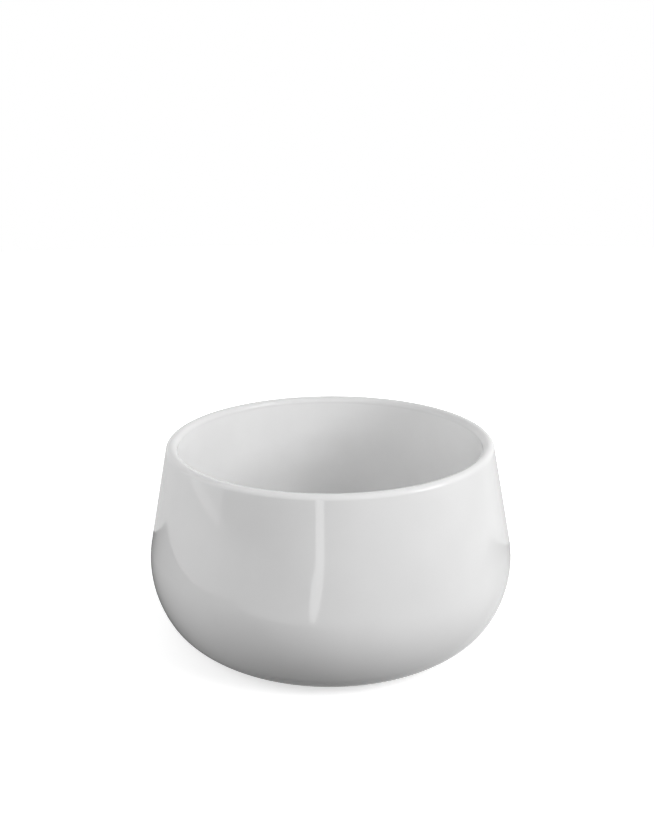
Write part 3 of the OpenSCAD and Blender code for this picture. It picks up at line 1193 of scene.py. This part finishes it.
@dataclass
class Cartridge(Assembly):
    """The push cartridge: barrel, bush, wiper ring, follower pin, spring and cam drum.

    Attributes:
        drum: CAD node of the cam drum, whose shape is kept.
    """

    drum: Object
    barrel_r: float = 8.5
    barrel_bore: float = 6.0
    barrel_low: float = -32.5
    barrel_plain: float = -8.0
    barrel_top: float = 11.0
    screw_low: float = -4.0
    screw_pitch: float = 1.0
    screw_depth: float = 0.45
    screw_steps: int = 10
    floor: float = -31.0
    vent_r: float = 1.5
    collar_flats: float = 20.0
    collar_low: float = 6.0
    collar_high: float = 9.0
    collar_inset: float = 0.2
    bush_low: float = 9.0
    bush_top: float = 12.5
    bush_gap: float = 0.05
    guide_gap: float = 0.08
    stem_r: float = 4.0
    ring_wire: float = 1.2
    ring_gap: float = 0.1
    pin_r: float = 0.8
    pin_level: float = -6.9
    pin_tip: float = 4.6
    pin_sides: int = 32
    wire: float = 0.9
    spring_r: float = 4.3
    spring_length: float = 19.0
    spring_pressed: float = 10.0
    curls: int = 8
    end_pitch: float = 1.4
    curl_points: int = 40
    wire_sides: int = 14

    def housing(self) -> Object:
        """Makes the brass barrel with its hexagonal collar.

        Returns:
            The piece.
        """
        foot = [
            Corner(self.vent_r, self.floor),
            Corner(self.vent_r, self.barrel_low, 0.3),
            Corner(self.barrel_r, self.barrel_low, 0.7),
            Corner(self.barrel_r, self.barrel_plain),
        ]
        cut = (self.screw_pitch, self.screw_depth, self.screw_steps)
        screw = Thread(self.barrel_r, self.screw_low, self.collar_low, *cut)
        face_r = self.collar_flats / 2 - self.collar_inset
        mouth = [
            Corner(self.barrel_r, self.collar_high),
            Corner(self.barrel_r, self.barrel_top, 0.3),
            Corner(self.barrel_bore, self.barrel_top, 0.2),
            Corner(self.barrel_bore, self.floor),
        ]
        rows = [
            *section(foot, closed=False),
            *screw.rows(),
            *Hexagon(self.collar_flats, self.collar_low, self.collar_high, face_r).rows(),
            *section(mouth, closed=False),
        ]
        return self.fit(revolve("brass_barrel", rows, sharp=24.0), "cartridge_housing", Coat.BRASS)

    def bush(self) -> Object:
        """Makes the bush that guides the stem.

        Returns:
            The piece.
        """
        guide = self.stem_r + self.guide_gap
        pocket = self.stem_r + self.ring_gap + self.ring_wire
        outer = self.barrel_bore - self.bush_gap
        shoulder = self.bush_top - self.ring_wire
        corners = [
            Corner(guide, self.bush_low, 0.2),
            Corner(outer, self.bush_low, 0.3),
            Corner(outer, self.barrel_top),
            Corner(self.barrel_r, self.barrel_top, 0.2),
            Corner(self.barrel_r, self.bush_top, 0.5),
            Corner(pocket, self.bush_top, 0.25),
            Corner(pocket, shoulder),
            Corner(guide, shoulder),
        ]
        return self.fit(turned("acetal_bush", corners), "cartridge_bush", Coat.ACETAL)

    def wiper(self) -> Object:
        """Makes the ring that wipes the stem.

        Returns:
            The piece.
        """
        radius = self.ring_wire / 2
        centre = (self.stem_r + self.ring_gap + radius, self.bush_top - radius)
        round_wire = arc(centre, radius, 0, 345, 15)
        return self.fit(turned("rubber_wiper_ring", round_wire), "stem_o_ring", Coat.RUBBER)

    def pin(self) -> Object:
        """Makes the follower pin, with its tip rounded.

        Returns:
            The piece.
        """
        corners = [
            Corner(0, self.pin_tip),
            Corner(self.pin_r, self.pin_tip, 0.3),
            Corner(self.pin_r, self.barrel_r, 0.1),
            Corner(0, self.barrel_r),
        ]
        made = turned("steel_follower_pin", corners, self.pin_sides, closed=False)
        raised = Matrix.Translation((0, 0, self.pin_level * MM))
        made.data.transform(raised @ Matrix.Rotation(math.pi / 2, 4, "Y"))
        return self.fit(made, "follower_pin", Coat.STEEL)

    def spring_height(self, turn: float) -> float:
        """Height of the wire's centre above the spring's first curl.

        Args:
            turn: Curls from the spring's lower end.

        Returns:
            The height. The end curls are closed, and those between them are open.
        """
        middle = (self.spring_length - self.wire - 2 * self.end_pitch) / (self.curls - 2)
        if turn < 1:
            return self.end_pitch * turn
        if turn < self.curls - 1:
            return self.end_pitch + middle * (turn - 1)
        return self.end_pitch + middle * (self.curls - 2) + self.end_pitch * (turn - self.curls + 1)

    def spring(self) -> Object:
        """Makes the return spring at its full length, though the real one shortens as the plug goes down.

        Returns:
            The piece.
        """
        n = self.wire_sides
        count = self.curls * self.curl_points
        path: list[Vector] = []
        for i in range(count + 1):
            turn = i / self.curl_points
            angle = math.tau * turn
            height = self.floor + self.wire / 2 + self.spring_height(turn)
            path.append(Vector((self.spring_r * math.cos(angle), self.spring_r * math.sin(angle), height)))
        points: list[Vector] = []
        for i, place in enumerate(path):
            along = (path[min(i + 1, count)] - path[max(i - 1, 0)]).normalized()
            side = along.cross(Vector((0, 0, 1))).normalized()
            up = side.cross(along)
            for k in range(n):
                a = math.tau * k / n
                points.append((place + self.wire / 2 * (math.cos(a) * side + math.sin(a) * up)) * MM)
        faces = [
            [i * n + k, (i + 1) * n + k, (i + 1) * n + (k + 1) % n, i * n + (k + 1) % n]
            for i in range(count)
            for k in range(n)
        ]
        faces += [list(range(n)), [count * n + k for k in reversed(range(n))]]
        made = shell("steel_return_spring", points, faces)
        tidy(made.data, 50.0)
        self.fit(made, "return_spring", Coat.STEEL)
        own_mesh(made)
        return made

    def build(self) -> list[Object]:
        """Makes the cartridge's five new pieces, and dresses the drum.

        Returns:
            The six pieces.
        """
        self.drum.data.materials.clear()
        self.drum.data.materials.append(Coat.ACETAL.value.material())
        return [self.housing(), self.bush(), self.wiper(), self.pin(), self.spring(), self.drum]


@dataclass
class Plug(Assembly):
    """What goes up and down: plunger, spring seat, lock nut, cap and seal."""

    rides_on: ClassVar[Body] = Body.PLUG
    cap_r: float = 31.5
    cap_low: float = 27.8
    cap_edge: float = 2.2
    cap_rise: float = 5.8
    cap_wall: float = 2.0
    cap_sides: int = 160
    boss_r: float = 5.5
    boss_low: float = 26.0
    screw_r: float = 3.0
    screw_top: float = 32.5
    screw_pitch: float = 1.0
    screw_depth: float = 0.5
    screw_steps: int = 10
    screw_end: float = 0.5
    screw_gap: float = 0.05
    grip_in: float = 18.5
    grip_out: float = 20.0
    grip_low: float = 27.3
    seal_r: float = 25.5
    seal_heel: float = 21.5
    seal_low: float = 25.8
    seal_gap: float = 0.05
    seal_edge: float = 0.1
    seat_r: float = 5.2
    seat_low: float = -12.0
    seat_top: float = -10.5
    rivet_r: float = 3.3
    rivet_low: float = -12.8
    spigot_r: float = 2.5
    head_low: float = 6.7
    head_top: float = 8.7
    head_r: float = 5.7
    stem_r: float = 4.0
    stem_top: float = 22.5
    stem_sides: int = 64
    nut_flats: float = 10.0
    nut_height: float = 3.5
    nut_inset: float = 0.15
    nut_mouth: float = 0.4

    def dome(self, radius: float, drop: float = 0.0) -> tuple[float, Point, float]:
        """Sphere of the cap's dome.

        Args:
            radius: Distance from the axis at which the dome is asked for.
            drop: Distance of the surface under the outer dome.

        Returns:
            Radius of the sphere, its centre in the section, and the angle at that distance in degrees.
        """
        outer = (self.cap_r**2 + self.cap_rise**2) / (2 * self.cap_rise)
        centre = (0.0, self.cap_low + self.cap_edge + self.cap_rise - outer)
        return outer - drop, centre, math.degrees(math.acos(radius / (outer - drop)))

    def land(self) -> float:
        """Height of the flat under the dome that the seal lies against."""
        inner, centre, _ = self.dome(self.seal_r, self.cap_wall)
        return centre[1] + math.sqrt(inner**2 - self.seal_r**2) - self.seal_gap

    def cap(self) -> Object:
        """Makes the domed cap with its screwed boss and the ring that grips the seal.

        Returns:
            The piece.
        """
        land, bore = self.land(), self.screw_r + self.screw_gap
        outer, centre, at_edge = self.dome(self.cap_r)
        inner, _, at_lip = self.dome(self.cap_r - self.cap_wall, self.cap_wall)
        at_seal, at_grip, at_boss = (
            self.dome(r, self.cap_wall)[2] for r in (self.seal_r, self.grip_in, self.boss_r)
        )
        top = arc(centre, outer, 90, at_edge, 0.75)
        corners = [
            Corner(0.0, top[0].z),
            *top[1:-1],
            Corner(self.cap_r, self.cap_low + self.cap_edge, 1.0),
            Corner(self.cap_r, self.cap_low, 0.5),
            Corner(self.cap_r - self.cap_wall, self.cap_low, 0.3),
            *arc(centre, inner, at_lip, at_seal, 1.0),
            Corner(self.seal_r, land),
            Corner(self.grip_out, land),
            Corner(self.grip_out, self.grip_low, 0.3),
            Corner(self.grip_in, self.grip_low, 0.3),
            *arc(centre, inner, at_grip, at_boss, 1.5),
            Corner(self.boss_r, self.boss_low, 0.4),
            Corner(bore, self.boss_low, 0.2),
            Corner(bore, self.screw_top),
            Corner(0.0, self.screw_top),
        ]
        made = turned("black_cap", corners, self.cap_sides, closed=False)
        return self.fit(made, "plug_cap", Coat.BLACK)

    def seal(self) -> Object:
        """Makes the seal that closes on the flange's cone.

        Returns:
            The piece.
        """
        land = self.land()
        corners = [
            Corner(self.grip_out, self.seal_low, 0.3),
            Corner(self.seal_heel, self.seal_low, 0.5),
            Corner(self.seal_r, self.cap_low + self.seal_edge, 0.4),
            Corner(self.seal_r, land, 0.3),
            Corner(self.grip_out, land, 0.2),
        ]
        return self.fit(turned("rubber_plug_seal", corners), "plug_seal", Coat.RUBBER)

    def plunger(self) -> Object:
        """Makes the stem, with its head and spigot below and a screw above.

        Returns:
            The piece.
        """
        low = [
            Corner(0.0, self.rivet_low),
            Corner(self.rivet_r, self.rivet_low, 0.5),
            Corner(self.rivet_r, self.seat_low),
            Corner(self.spigot_r, self.seat_low),
            Corner(self.spigot_r, self.head_low, 0.2),
            Corner(self.head_r, self.head_low, 0.2),
            Corner(self.head_r, self.head_top, 0.3),
            Corner(self.stem_r, self.head_top, 0.2),
            Corner(self.stem_r, self.stem_top, 0.4),
            Corner(self.screw_r, self.stem_top),
        ]
        tip = self.screw_top - self.screw_end
        cut = (self.screw_pitch, self.screw_depth, self.screw_steps)
        screw = Thread(self.screw_r, self.stem_top, tip - self.screw_end, *cut)
        end = [Corner(self.screw_r - self.screw_end, tip), Corner(0.0, tip)]
        rows = [*section(low, closed=False), *screw.rows(), *section(end, closed=False)]
        made = revolve("brass_plunger", rows, self.stem_sides, closed=False, sharp=40.0)
        return self.fit(made, "plunger", Coat.BRASS)

    def seat(self) -> Object:
        """Makes the disc that the spring bears on."""
        disc = ring(self.spigot_r, self.seat_r, self.seat_low, self.seat_top, 0.15, 0.3)
        return self.fit(turned("steel_spring_seat", disc), "spring_seat", Coat.STEEL)

    def lock_nut(self) -> Object:
        """Makes the nut that locks the cap.

        Returns:
            The piece.
        """
        low, high = self.stem_top, self.stem_top + self.nut_height
        bore = self.screw_r + self.screw_gap
        hexagon = Hexagon(self.nut_flats, low, high, self.nut_flats / 2 - self.nut_inset)
        mouth = [
            Corner(bore + self.nut_mouth, high),
            Corner(bore, high - self.nut_mouth),
            Corner(bore, low + self.nut_mouth),
            Corner(bore + self.nut_mouth, low),
        ]
        made = revolve("brass_lock_nut", [*hexagon.rows(), *section(mouth, closed=False)], sharp=24.0)
        return self.fit(made, "cap_lock_nut", Coat.BRASS)

    def build(self) -> list[Object]:
        """Makes the plug, and returns its five pieces."""
        return [self.plunger(), self.seat(), self.lock_nut(), self.cap(), self.seal()]


# Studio


@dataclass(frozen=True)
class Softbox:
    """A square lamp that faces the bowl.

    Attributes:
        name: Name of the lamp.
        azimuth: Direction from the bowl in degrees: 0 is towards the camera and 90 to the right.
        elevation: Direction above the horizon in degrees.
        distance: Distance from the bowl.
        size: Width of the lamp.
        level: Radiance of its face, where 1 is white.
        mirrored: Whether the glaze mirrors its face.
    """

    name: str
    azimuth: float
    elevation: float
    distance: float
    size: float
    level: float
    mirrored: bool = True


@dataclass
class Studio:
    """A white seamless floor, soft lamps, the grey cards that shape the glaze's reflections, and the camera.

    Attributes:
        apron: Corners of a dark card on the floor, round the bowl.
        strip: Points of the strip of light: distance from the axis, height, azimuth, and width in degrees.
    """

    target: Place = (0.0, 0.0, 0.1)
    softboxes: tuple[Softbox, ...] = (
        Softbox("key_right", 62, 27, 1.8, 0.8, 11.3, False),
        Softbox("fill_left", -60, 30, 1.8, 1.2, 1.3, False),
        Softbox("low_left", -90, 12, 1.8, 1.4, 0.8),
        Softbox("front", -20, 35, 1.8, 1.2, 1.25, False),
        Softbox("back_left", -155, 14, 1.8, 1.4, 0.4, False),
        Softbox("back_right", 150, 14, 1.8, 1.4, 1.9, False),
    )
    base_watts: float = 12.0
    base_r: float = 0.142
    base_distance: float = 1.5
    base_blend: float = 0.15
    base_bulb_r: float = 0.05
    horizon_low: float = -0.12
    horizon_high: float = 0.1
    room: float = 0.42
    from_back: float = 0.7
    from_right: float = 0.05
    zenith_dim: float = 0.75
    floor_bounce: float = 0.2
    from_below: float = 0.02
    hole_r: float = 0.045
    floor_paint: str = "#EEEEEE"
    floor_level_z: float = -0.0004
    floor_rings: tuple[float, ...] = (0.4, 1.5, 6.0)
    floor_sides: int = 96
    near_glow: float = 0.55
    far_glow: float = 1.1
    glow_near_r: float = 0.35
    glow_far_r: float = 1.4
    shade_paint: str = "#1A1A1A"
    shade_near_r: float = 0.148
    shade_far_r: float = 0.26
    shade_z: float = -0.0006
    flats_r: float = 2.6
    flats_height: float = 2.6
    flats_foot: float = -0.01
    flats_low: float = 0.07
    flats_high: float = 0.15
    flats_behind: float = 0.75
    behind_from: float = 0.6
    behind_to: float = 2.2
    key_face: Softbox = Softbox("key_face", 67, 28, 1.75, 0.64, 4.0)
    apron: tuple[Point, ...] = ((-0.6, -0.5), (0.62, -0.5), (0.62, 0.14), (-0.6, 0.24))
    apron_z: float = -0.0002
    apron_dark: float = 0.05
    apron_pool: Place = (0.22, -0.12, 0.0)
    apron_reach: float = 0.45
    apron_level: float = 1.0
    room_floor_z: float = -0.0003
    room_floor_way: Place = (-0.64, 0.77, 0.0)
    room_floor_from: float = -0.75
    room_floor_to: float = -0.25
    room_floor_dark: float = 0.05
    room_floor_grey: float = 0.65
    room_floor_pool: Place = (-1.13, -0.41, 0.0)
    room_floor_reach: float = 0.9
    room_floor_level: float = 1.05
    strip_level: float = 2.5
    strip_z: float = -0.0001
    strip: tuple[tuple[float, float, float, float], ...] = (
        (0.70, 0.0, -9.2, 2.0),
        (0.84, 0.0, -9.0, 2.6),
        (1.00, 0.0, -8.6, 5.2),
        (1.66, 0.0, -7.6, 6.6),
        (2.55, 0.0, -6.0, 5.0),
        (2.55, 0.35, -6.4, 5.0),
        (2.55, 1.40, -8.6, 5.0),
    )
    lens_mm: float = 34.684
    eye_mm: Place = (-3.005, -823.35, 465.74)
    look_down: float = 15.624
    roll: float = -0.366
    clip: Point = (0.01, 60.0)

    def aim(self, box: Softbox) -> Matrix:
        """Place and turn of a lamp or a card that faces the bowl.

        Args:
            box: The lamp or card.

        Returns:
            Its matrix.
        """
        a, e = math.radians(box.azimuth), math.radians(box.elevation)
        away = Vector((math.sin(a) * math.cos(e), -math.cos(a) * math.cos(e), math.sin(e)))
        turn = away.to_track_quat("Z", "Y").to_matrix().to_4x4()
        return Matrix.Translation(Vector(self.target) + away * box.distance) @ turn

    def lamp(self, light: Light, watts: float, place: Matrix, mirrored: bool) -> None:
        """Hangs a lamp, which the camera doesn't see.

        Args:
            light: The lamp.
            watts: Its power.
            place: Its place and turn.
            mirrored: Whether the glaze mirrors it.
        """
        light.energy = watts
        holder = put(light.name, light)
        holder.matrix_world = place
        holder.visible_camera = False
        holder.visible_glossy = mirrored

    def light(self) -> None:
        """Adds the soft lamps."""
        for box in self.softboxes:
            light = bpy.data.lights.new(box.name, "AREA")
            light.shape = "SQUARE"
            light.size = box.size
            self.lamp(light, box.level * math.pi * box.size**2, self.aim(box), box.mirrored)

    def light_base(self) -> None:
        """Adds a lamp under the floor, whose narrow beam lights the base inside the foot ring."""
        light = bpy.data.lights.new("base_spot", "SPOT")
        light.spot_size = 2 * math.atan(self.base_r / self.base_distance)
        light.spot_blend = self.base_blend
        light.shadow_soft_size = self.base_bulb_r
        below = Matrix.Translation((0.0, 0.0, -self.base_distance))
        self.lamp(light, self.base_watts, below @ Matrix.Rotation(math.pi, 4, "X"), False)

    def seen(self, tree: NodeTree) -> NodeSocket:
        """Tells a view or a reflection of the background from the light that it gives.

        Args:
            tree: Node tree of the world or of the floor.

        Returns:
            Socket with 1 on camera, glossy and transmission rays.
        """
        path = add(tree, "LightPath").outputs
        direct = {0: path["Is Camera Ray"], 1: path["Is Glossy Ray"]}
        either = add(tree, "Math", direct, operation="MAXIMUM").outputs["Value"]
        through = {0: either, 1: path["Is Transmission Ray"]}
        return add(tree, "Math", through, operation="MAXIMUM").outputs["Value"]

    def sky(self) -> None:
        """Adds the room's soft light, which is white where it is seen.

        It comes from above the horizon, most from the back, and a little comes up from the floor at the left.
        """
        world = bpy.data.worlds.new("studio_room")
        world.use_nodes = True
        tree = world.node_tree
        tree.nodes.clear()
        way = add(tree, "SeparateXYZ", {"Vector": add(tree, "TexCoord").outputs["Generated"]}).outputs
        horizon = {"Value": way["Z"], "From Min": self.horizon_low, "From Max": self.horizon_high}
        above = add(tree, "MapRange", horizon, interpolation_type="SMOOTHSTEP").outputs["Result"]
        back = add(tree, "MapRange", {"Value": way["Y"], "To Max": self.from_back}).outputs["Result"]
        rightwards = {"Value": way["X"], "To Min": self.room, "To Max": self.room + self.from_right}
        right = add(tree, "MapRange", rightwards).outputs["Result"]
        sides = add(tree, "Math", {0: back, 1: right}, operation="ADD").outputs["Value"]
        falling = {0: way["Z"], 1: -self.zenith_dim, 2: 1.0}
        dim = add(tree, "Math", falling, operation="MULTIPLY_ADD").outputs["Value"]
        upper = add(tree, "Math", {0: sides, 1: dim}, operation="MULTIPLY").outputs["Value"]
        leftwards = {
            "Value": way["X"],
            "From Min": -1.0,
            "From Max": -self.from_below / self.floor_bounce,
            "To Min": self.floor_bounce,
            "To Max": self.from_below,
        }
        lower = add(tree, "MapRange", leftwards).outputs["Result"]
        level = add(tree, "Mix", {0: above, 2: lower, 3: upper}, data_type="FLOAT").outputs[0]
        room = add(tree, "Background", {"Color": WHITE, "Strength": level}).outputs["Background"]
        white = add(tree, "Background", {"Color": WHITE, "Strength": 1.0}).outputs["Background"]
        mix = add(tree, "MixShader", {0: self.seen(tree), 1: room, 2: white})
        add(tree, "OutputWorld", {"Surface": mix.outputs["Shader"]})
        bpy.context.scene.world = world

    def stand(self, name: str, shape: Shape, material: Material, hidden: Sequence[Ray]) -> None:
        """Adds a mesh that belongs to the studio.

        Args:
            name: Name of the object.
            shape: Its points and faces.
            material: Its material.
            hidden: Rays that don't see it.
        """
        made = shell(name, *shape)
        made.data.materials.append(material)
        for ray in hidden:
            setattr(made, "visible_" + ray.value, False)

    def disc(self, radii: Sequence[float], heights: Sequence[float]) -> Shape:
        """Points and faces of rings about the axis.

        Args:
            radii: Radius of each ring.
            heights: Height of each ring.

        Returns:
            The points and the faces, which face upwards or inwards.
        """
        n = self.floor_sides
        turns = [math.tau * j / n for j in range(n)]
        points = [(r * math.cos(a), r * math.sin(a), z) for r, z in zip(radii, heights) for a in turns]
        faces = [
            [i * n + j, (i + 1) * n + j, (i + 1) * n + (j + 1) % n, i * n + (j + 1) % n]
            for i in range(len(radii) - 1)
            for j in range(n)
        ]
        return points, faces

    def floor(self) -> None:
        """Adds the floor, with a hole for the waste. It is clear from below, so that the underside shows."""
        material = blank("white_floor")
        tree = material.node_tree
        paint = add(tree, "BsdfDiffuse", {"Color": linear(self.floor_paint)})
        reach = add(tree, "VectorMath", {0: add(tree, "TexCoord").outputs["Object"]}, operation="LENGTH")
        rise = {
            "Value": reach.outputs["Value"],
            "From Min": self.glow_near_r,
            "From Max": self.glow_far_r,
            "To Min": self.near_glow,
            "To Max": self.far_glow,
        }
        glow = add(tree, "MapRange", rise, interpolation_type="SMOOTHSTEP")
        shown = add(tree, "Math", {0: glow.outputs["Result"], 1: self.seen(tree)}, operation="MULTIPLY")
        lift = add(tree, "Emission", {"Color": WHITE, "Strength": shown.outputs["Value"]})
        pale = add(tree, "AddShader", {0: paint.outputs["BSDF"], 1: lift.outputs["Emission"]})
        clear = add(tree, "BsdfTransparent")
        below = add(tree, "NewGeometry").outputs["Backfacing"]
        surface = add(tree, "MixShader", {0: below, 1: pale.outputs["Shader"], 2: clear.outputs["BSDF"]})
        add(tree, "OutputMaterial", {"Surface": surface.outputs["Shader"]})
        radii = [self.hole_r, *self.floor_rings]
        shape = self.disc(radii, [self.floor_level_z] * len(radii))
        self.stand("floor", shape, material, (Ray.DIFFUSE, Ray.SHADOW))

    def shade(self) -> None:
        """Adds a dark ring under the floor, painted shade for the dark that the bowl leaves round its foot,
        which only its underside meets.
        """
        # Painted shade: a dark sheet that darkens the bowl's underside near the foot, seen by diffuse and
        # shadow rays only.
        material = blank("painted_shade_under_bowl")
        paint = add(material.node_tree, "BsdfPrincipled", {"Base Color": linear(self.shade_paint)})
        add(material.node_tree, "OutputMaterial", {"Surface": paint.outputs["BSDF"]})
        shape = self.disc([self.shade_near_r, self.shade_far_r], [self.shade_z] * 2)
        self.stand("painted_shade_under_bowl", shape, material, (Ray.CAMERA, Ray.GLOSSY, Ray.TRANSMISSION))

    def card(self, name: str, shape: Shape, shade: Callable[[NodeTree], Setting]) -> None:
        """Adds a card that the glaze mirrors and that nothing else sees.

        Args:
            name: Name of the card.
            shape: Its points and faces.
            shade: Gives its level, or adds the nodes that work it out.
        """
        material = blank(name)
        tree = material.node_tree
        glow = add(tree, "Emission", {"Color": WHITE, "Strength": shade(tree)})
        add(tree, "OutputMaterial", {"Surface": glow.outputs["Emission"]})
        self.stand(name, shape, material, (Ray.DIFFUSE, Ray.SHADOW, Ray.CAMERA, Ray.TRANSMISSION))

    def flats_shade(self, tree: NodeTree) -> NodeSocket:
        """Adds the level of the flats: dark grey, lighter overhead, and pale behind the bowl.

        Args:
            tree: Node tree of the flats.

        Returns:
            Socket with the level.
        """
        place = add(tree, "SeparateXYZ", {"Vector": add(tree, "TexCoord").outputs["Object"]}).outputs
        height = {"Value": place["Z"], "From Max": self.flats_height}
        grey = add(tree, "MapRange", {**height, "To Min": self.flats_low, "To Max": self.flats_high})
        depth = {"Value": place["Y"], "From Min": self.behind_from, "From Max": self.behind_to}
        behind = {**depth, "To Max": self.flats_behind}
        pale = add(tree, "MapRange", behind, interpolation_type="SMOOTHSTEP")
        both = {0: grey.outputs["Result"], 1: pale.outputs["Result"]}
        return add(tree, "Math", both, operation="ADD").outputs["Value"]

    def pool(self, tree: NodeTree, centre: Place, reach: float, level: float, edge: Setting) -> NodeSocket:
        """Adds the nodes of a pool of light.

        Args:
            tree: Node tree.
            centre: Middle of the pool.
            reach: Radius of the pool.
            level: Level at its middle.
            edge: Level at its edge and beyond.

        Returns:
            Socket with the level.
        """
        place = add(tree, "TexCoord").outputs["Object"]
        away = add(tree, "VectorMath", {0: place, 1: centre}, operation="DISTANCE").outputs["Value"]
        fading = {"Value": away, "From Max": reach, "To Min": level, "To Max": edge}
        return add(tree, "MapRange", fading, interpolation_type="SMOOTHSTEP").outputs["Result"]

    def room_floor_shade(self, tree: NodeTree) -> NodeSocket:
        """Adds the level of the room's floor: pale left, grey at the back, dark at the front right.

        Args:
            tree: Node tree of the floor.

        Returns:
            Socket with the level.
        """
        across = {0: add(tree, "TexCoord").outputs["Object"], 1: self.room_floor_way}
        along = add(tree, "VectorMath", across, operation="DOT_PRODUCT").outputs["Value"]
        rise = {"Value": along, "From Min": self.room_floor_from, "From Max": self.room_floor_to}
        levels = {"To Min": self.room_floor_dark, "To Max": self.room_floor_grey}
        shade = add(tree, "MapRange", {**rise, **levels}).outputs["Result"]
        return self.pool(tree, self.room_floor_pool, self.room_floor_reach, self.room_floor_level, shade)

    def apron_shade(self, tree: NodeTree) -> NodeSocket:
        """Adds the level of the apron: dark, with a pool of the key's light beside the bowl."""
        return self.pool(tree, self.apron_pool, self.apron_reach, self.apron_level, self.apron_dark)

    def cards(self) -> None:
        """Adds the flats, the room's floor, the apron, the strip of light and the key's face."""
        radii = [self.flats_r, self.flats_r, 0.0]
        heights = [self.flats_foot, self.flats_height / 2, self.flats_height]
        self.card("grey_flats", self.disc(radii, heights), self.flats_shade)
        room_floor = self.disc([self.hole_r, self.flats_r], [self.room_floor_z] * 2)
        self.card("mirrored_floor", room_floor, self.room_floor_shade)
        corners = [(x, y, self.apron_z) for x, y in self.apron]
        self.card("mirrored_apron", (corners, [[0, 1, 2, 3]]), self.apron_shade)
        points = []
        for r, z, azimuth, width in self.strip:
            for side in (-0.5, 0.5):
                a = math.radians(azimuth + side * width)
                points.append((r * math.sin(a), -r * math.cos(a), z + self.strip_z))
        faces = [[2 * i, 2 * i + 1, 2 * i + 3, 2 * i + 2] for i in range(len(self.strip) - 1)]
        self.card("light_strip", (points, faces), lambda _: self.strip_level)
        face, turn = self.key_face, self.aim(self.key_face)
        half = face.size / 2
        corners = [turn @ Vector((half * i, half * j, 0.0)) for i, j in ((-1, -1), (1, -1), (1, 1), (-1, 1))]
        self.card(face.name, (corners, [[0, 1, 2, 3]]), lambda _: face.level)

    def camera(self) -> None:
        """Adds the photograph's camera, from a fit to the bowl's outline."""
        lens = bpy.data.cameras.new("camera")
        lens.lens = self.lens_mm
        lens.clip_start, lens.clip_end = self.clip
        holder = put("camera", lens)
        pitch = Matrix.Rotation(math.radians(90 - self.look_down), 4, "X")
        turn = pitch @ Matrix.Rotation(math.radians(self.roll), 4, "Z")
        holder.matrix_world = Matrix.Translation(Vector(self.eye_mm) * MM) @ turn
        bpy.context.scene.camera = holder

    def build(self) -> None:
        """Adds the whole studio."""
        self.floor()
        self.shade()
        self.cards()
        self.sky()
        self.light()
        self.light_base()
        self.camera()
        bpy.context.scene.view_settings.view_transform = "Standard"


def main() -> None:
    """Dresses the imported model, piece by piece, and lights it."""
    logging.basicConfig(level=logging.INFO, format="%(name)s: %(message)s")
    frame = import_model()
    assemblies: tuple[Assembly, ...] = (Bowl(), Waste(), Cartridge(frame["nodes"]["cam_drum"]), Plug())
    for assembly in assemblies:
        for piece in assembly.build():
            log.info("%s: %d faces", piece.name, len(piece.data.polygons))
    Studio().build()


if __name__ == "__main__":
    main()
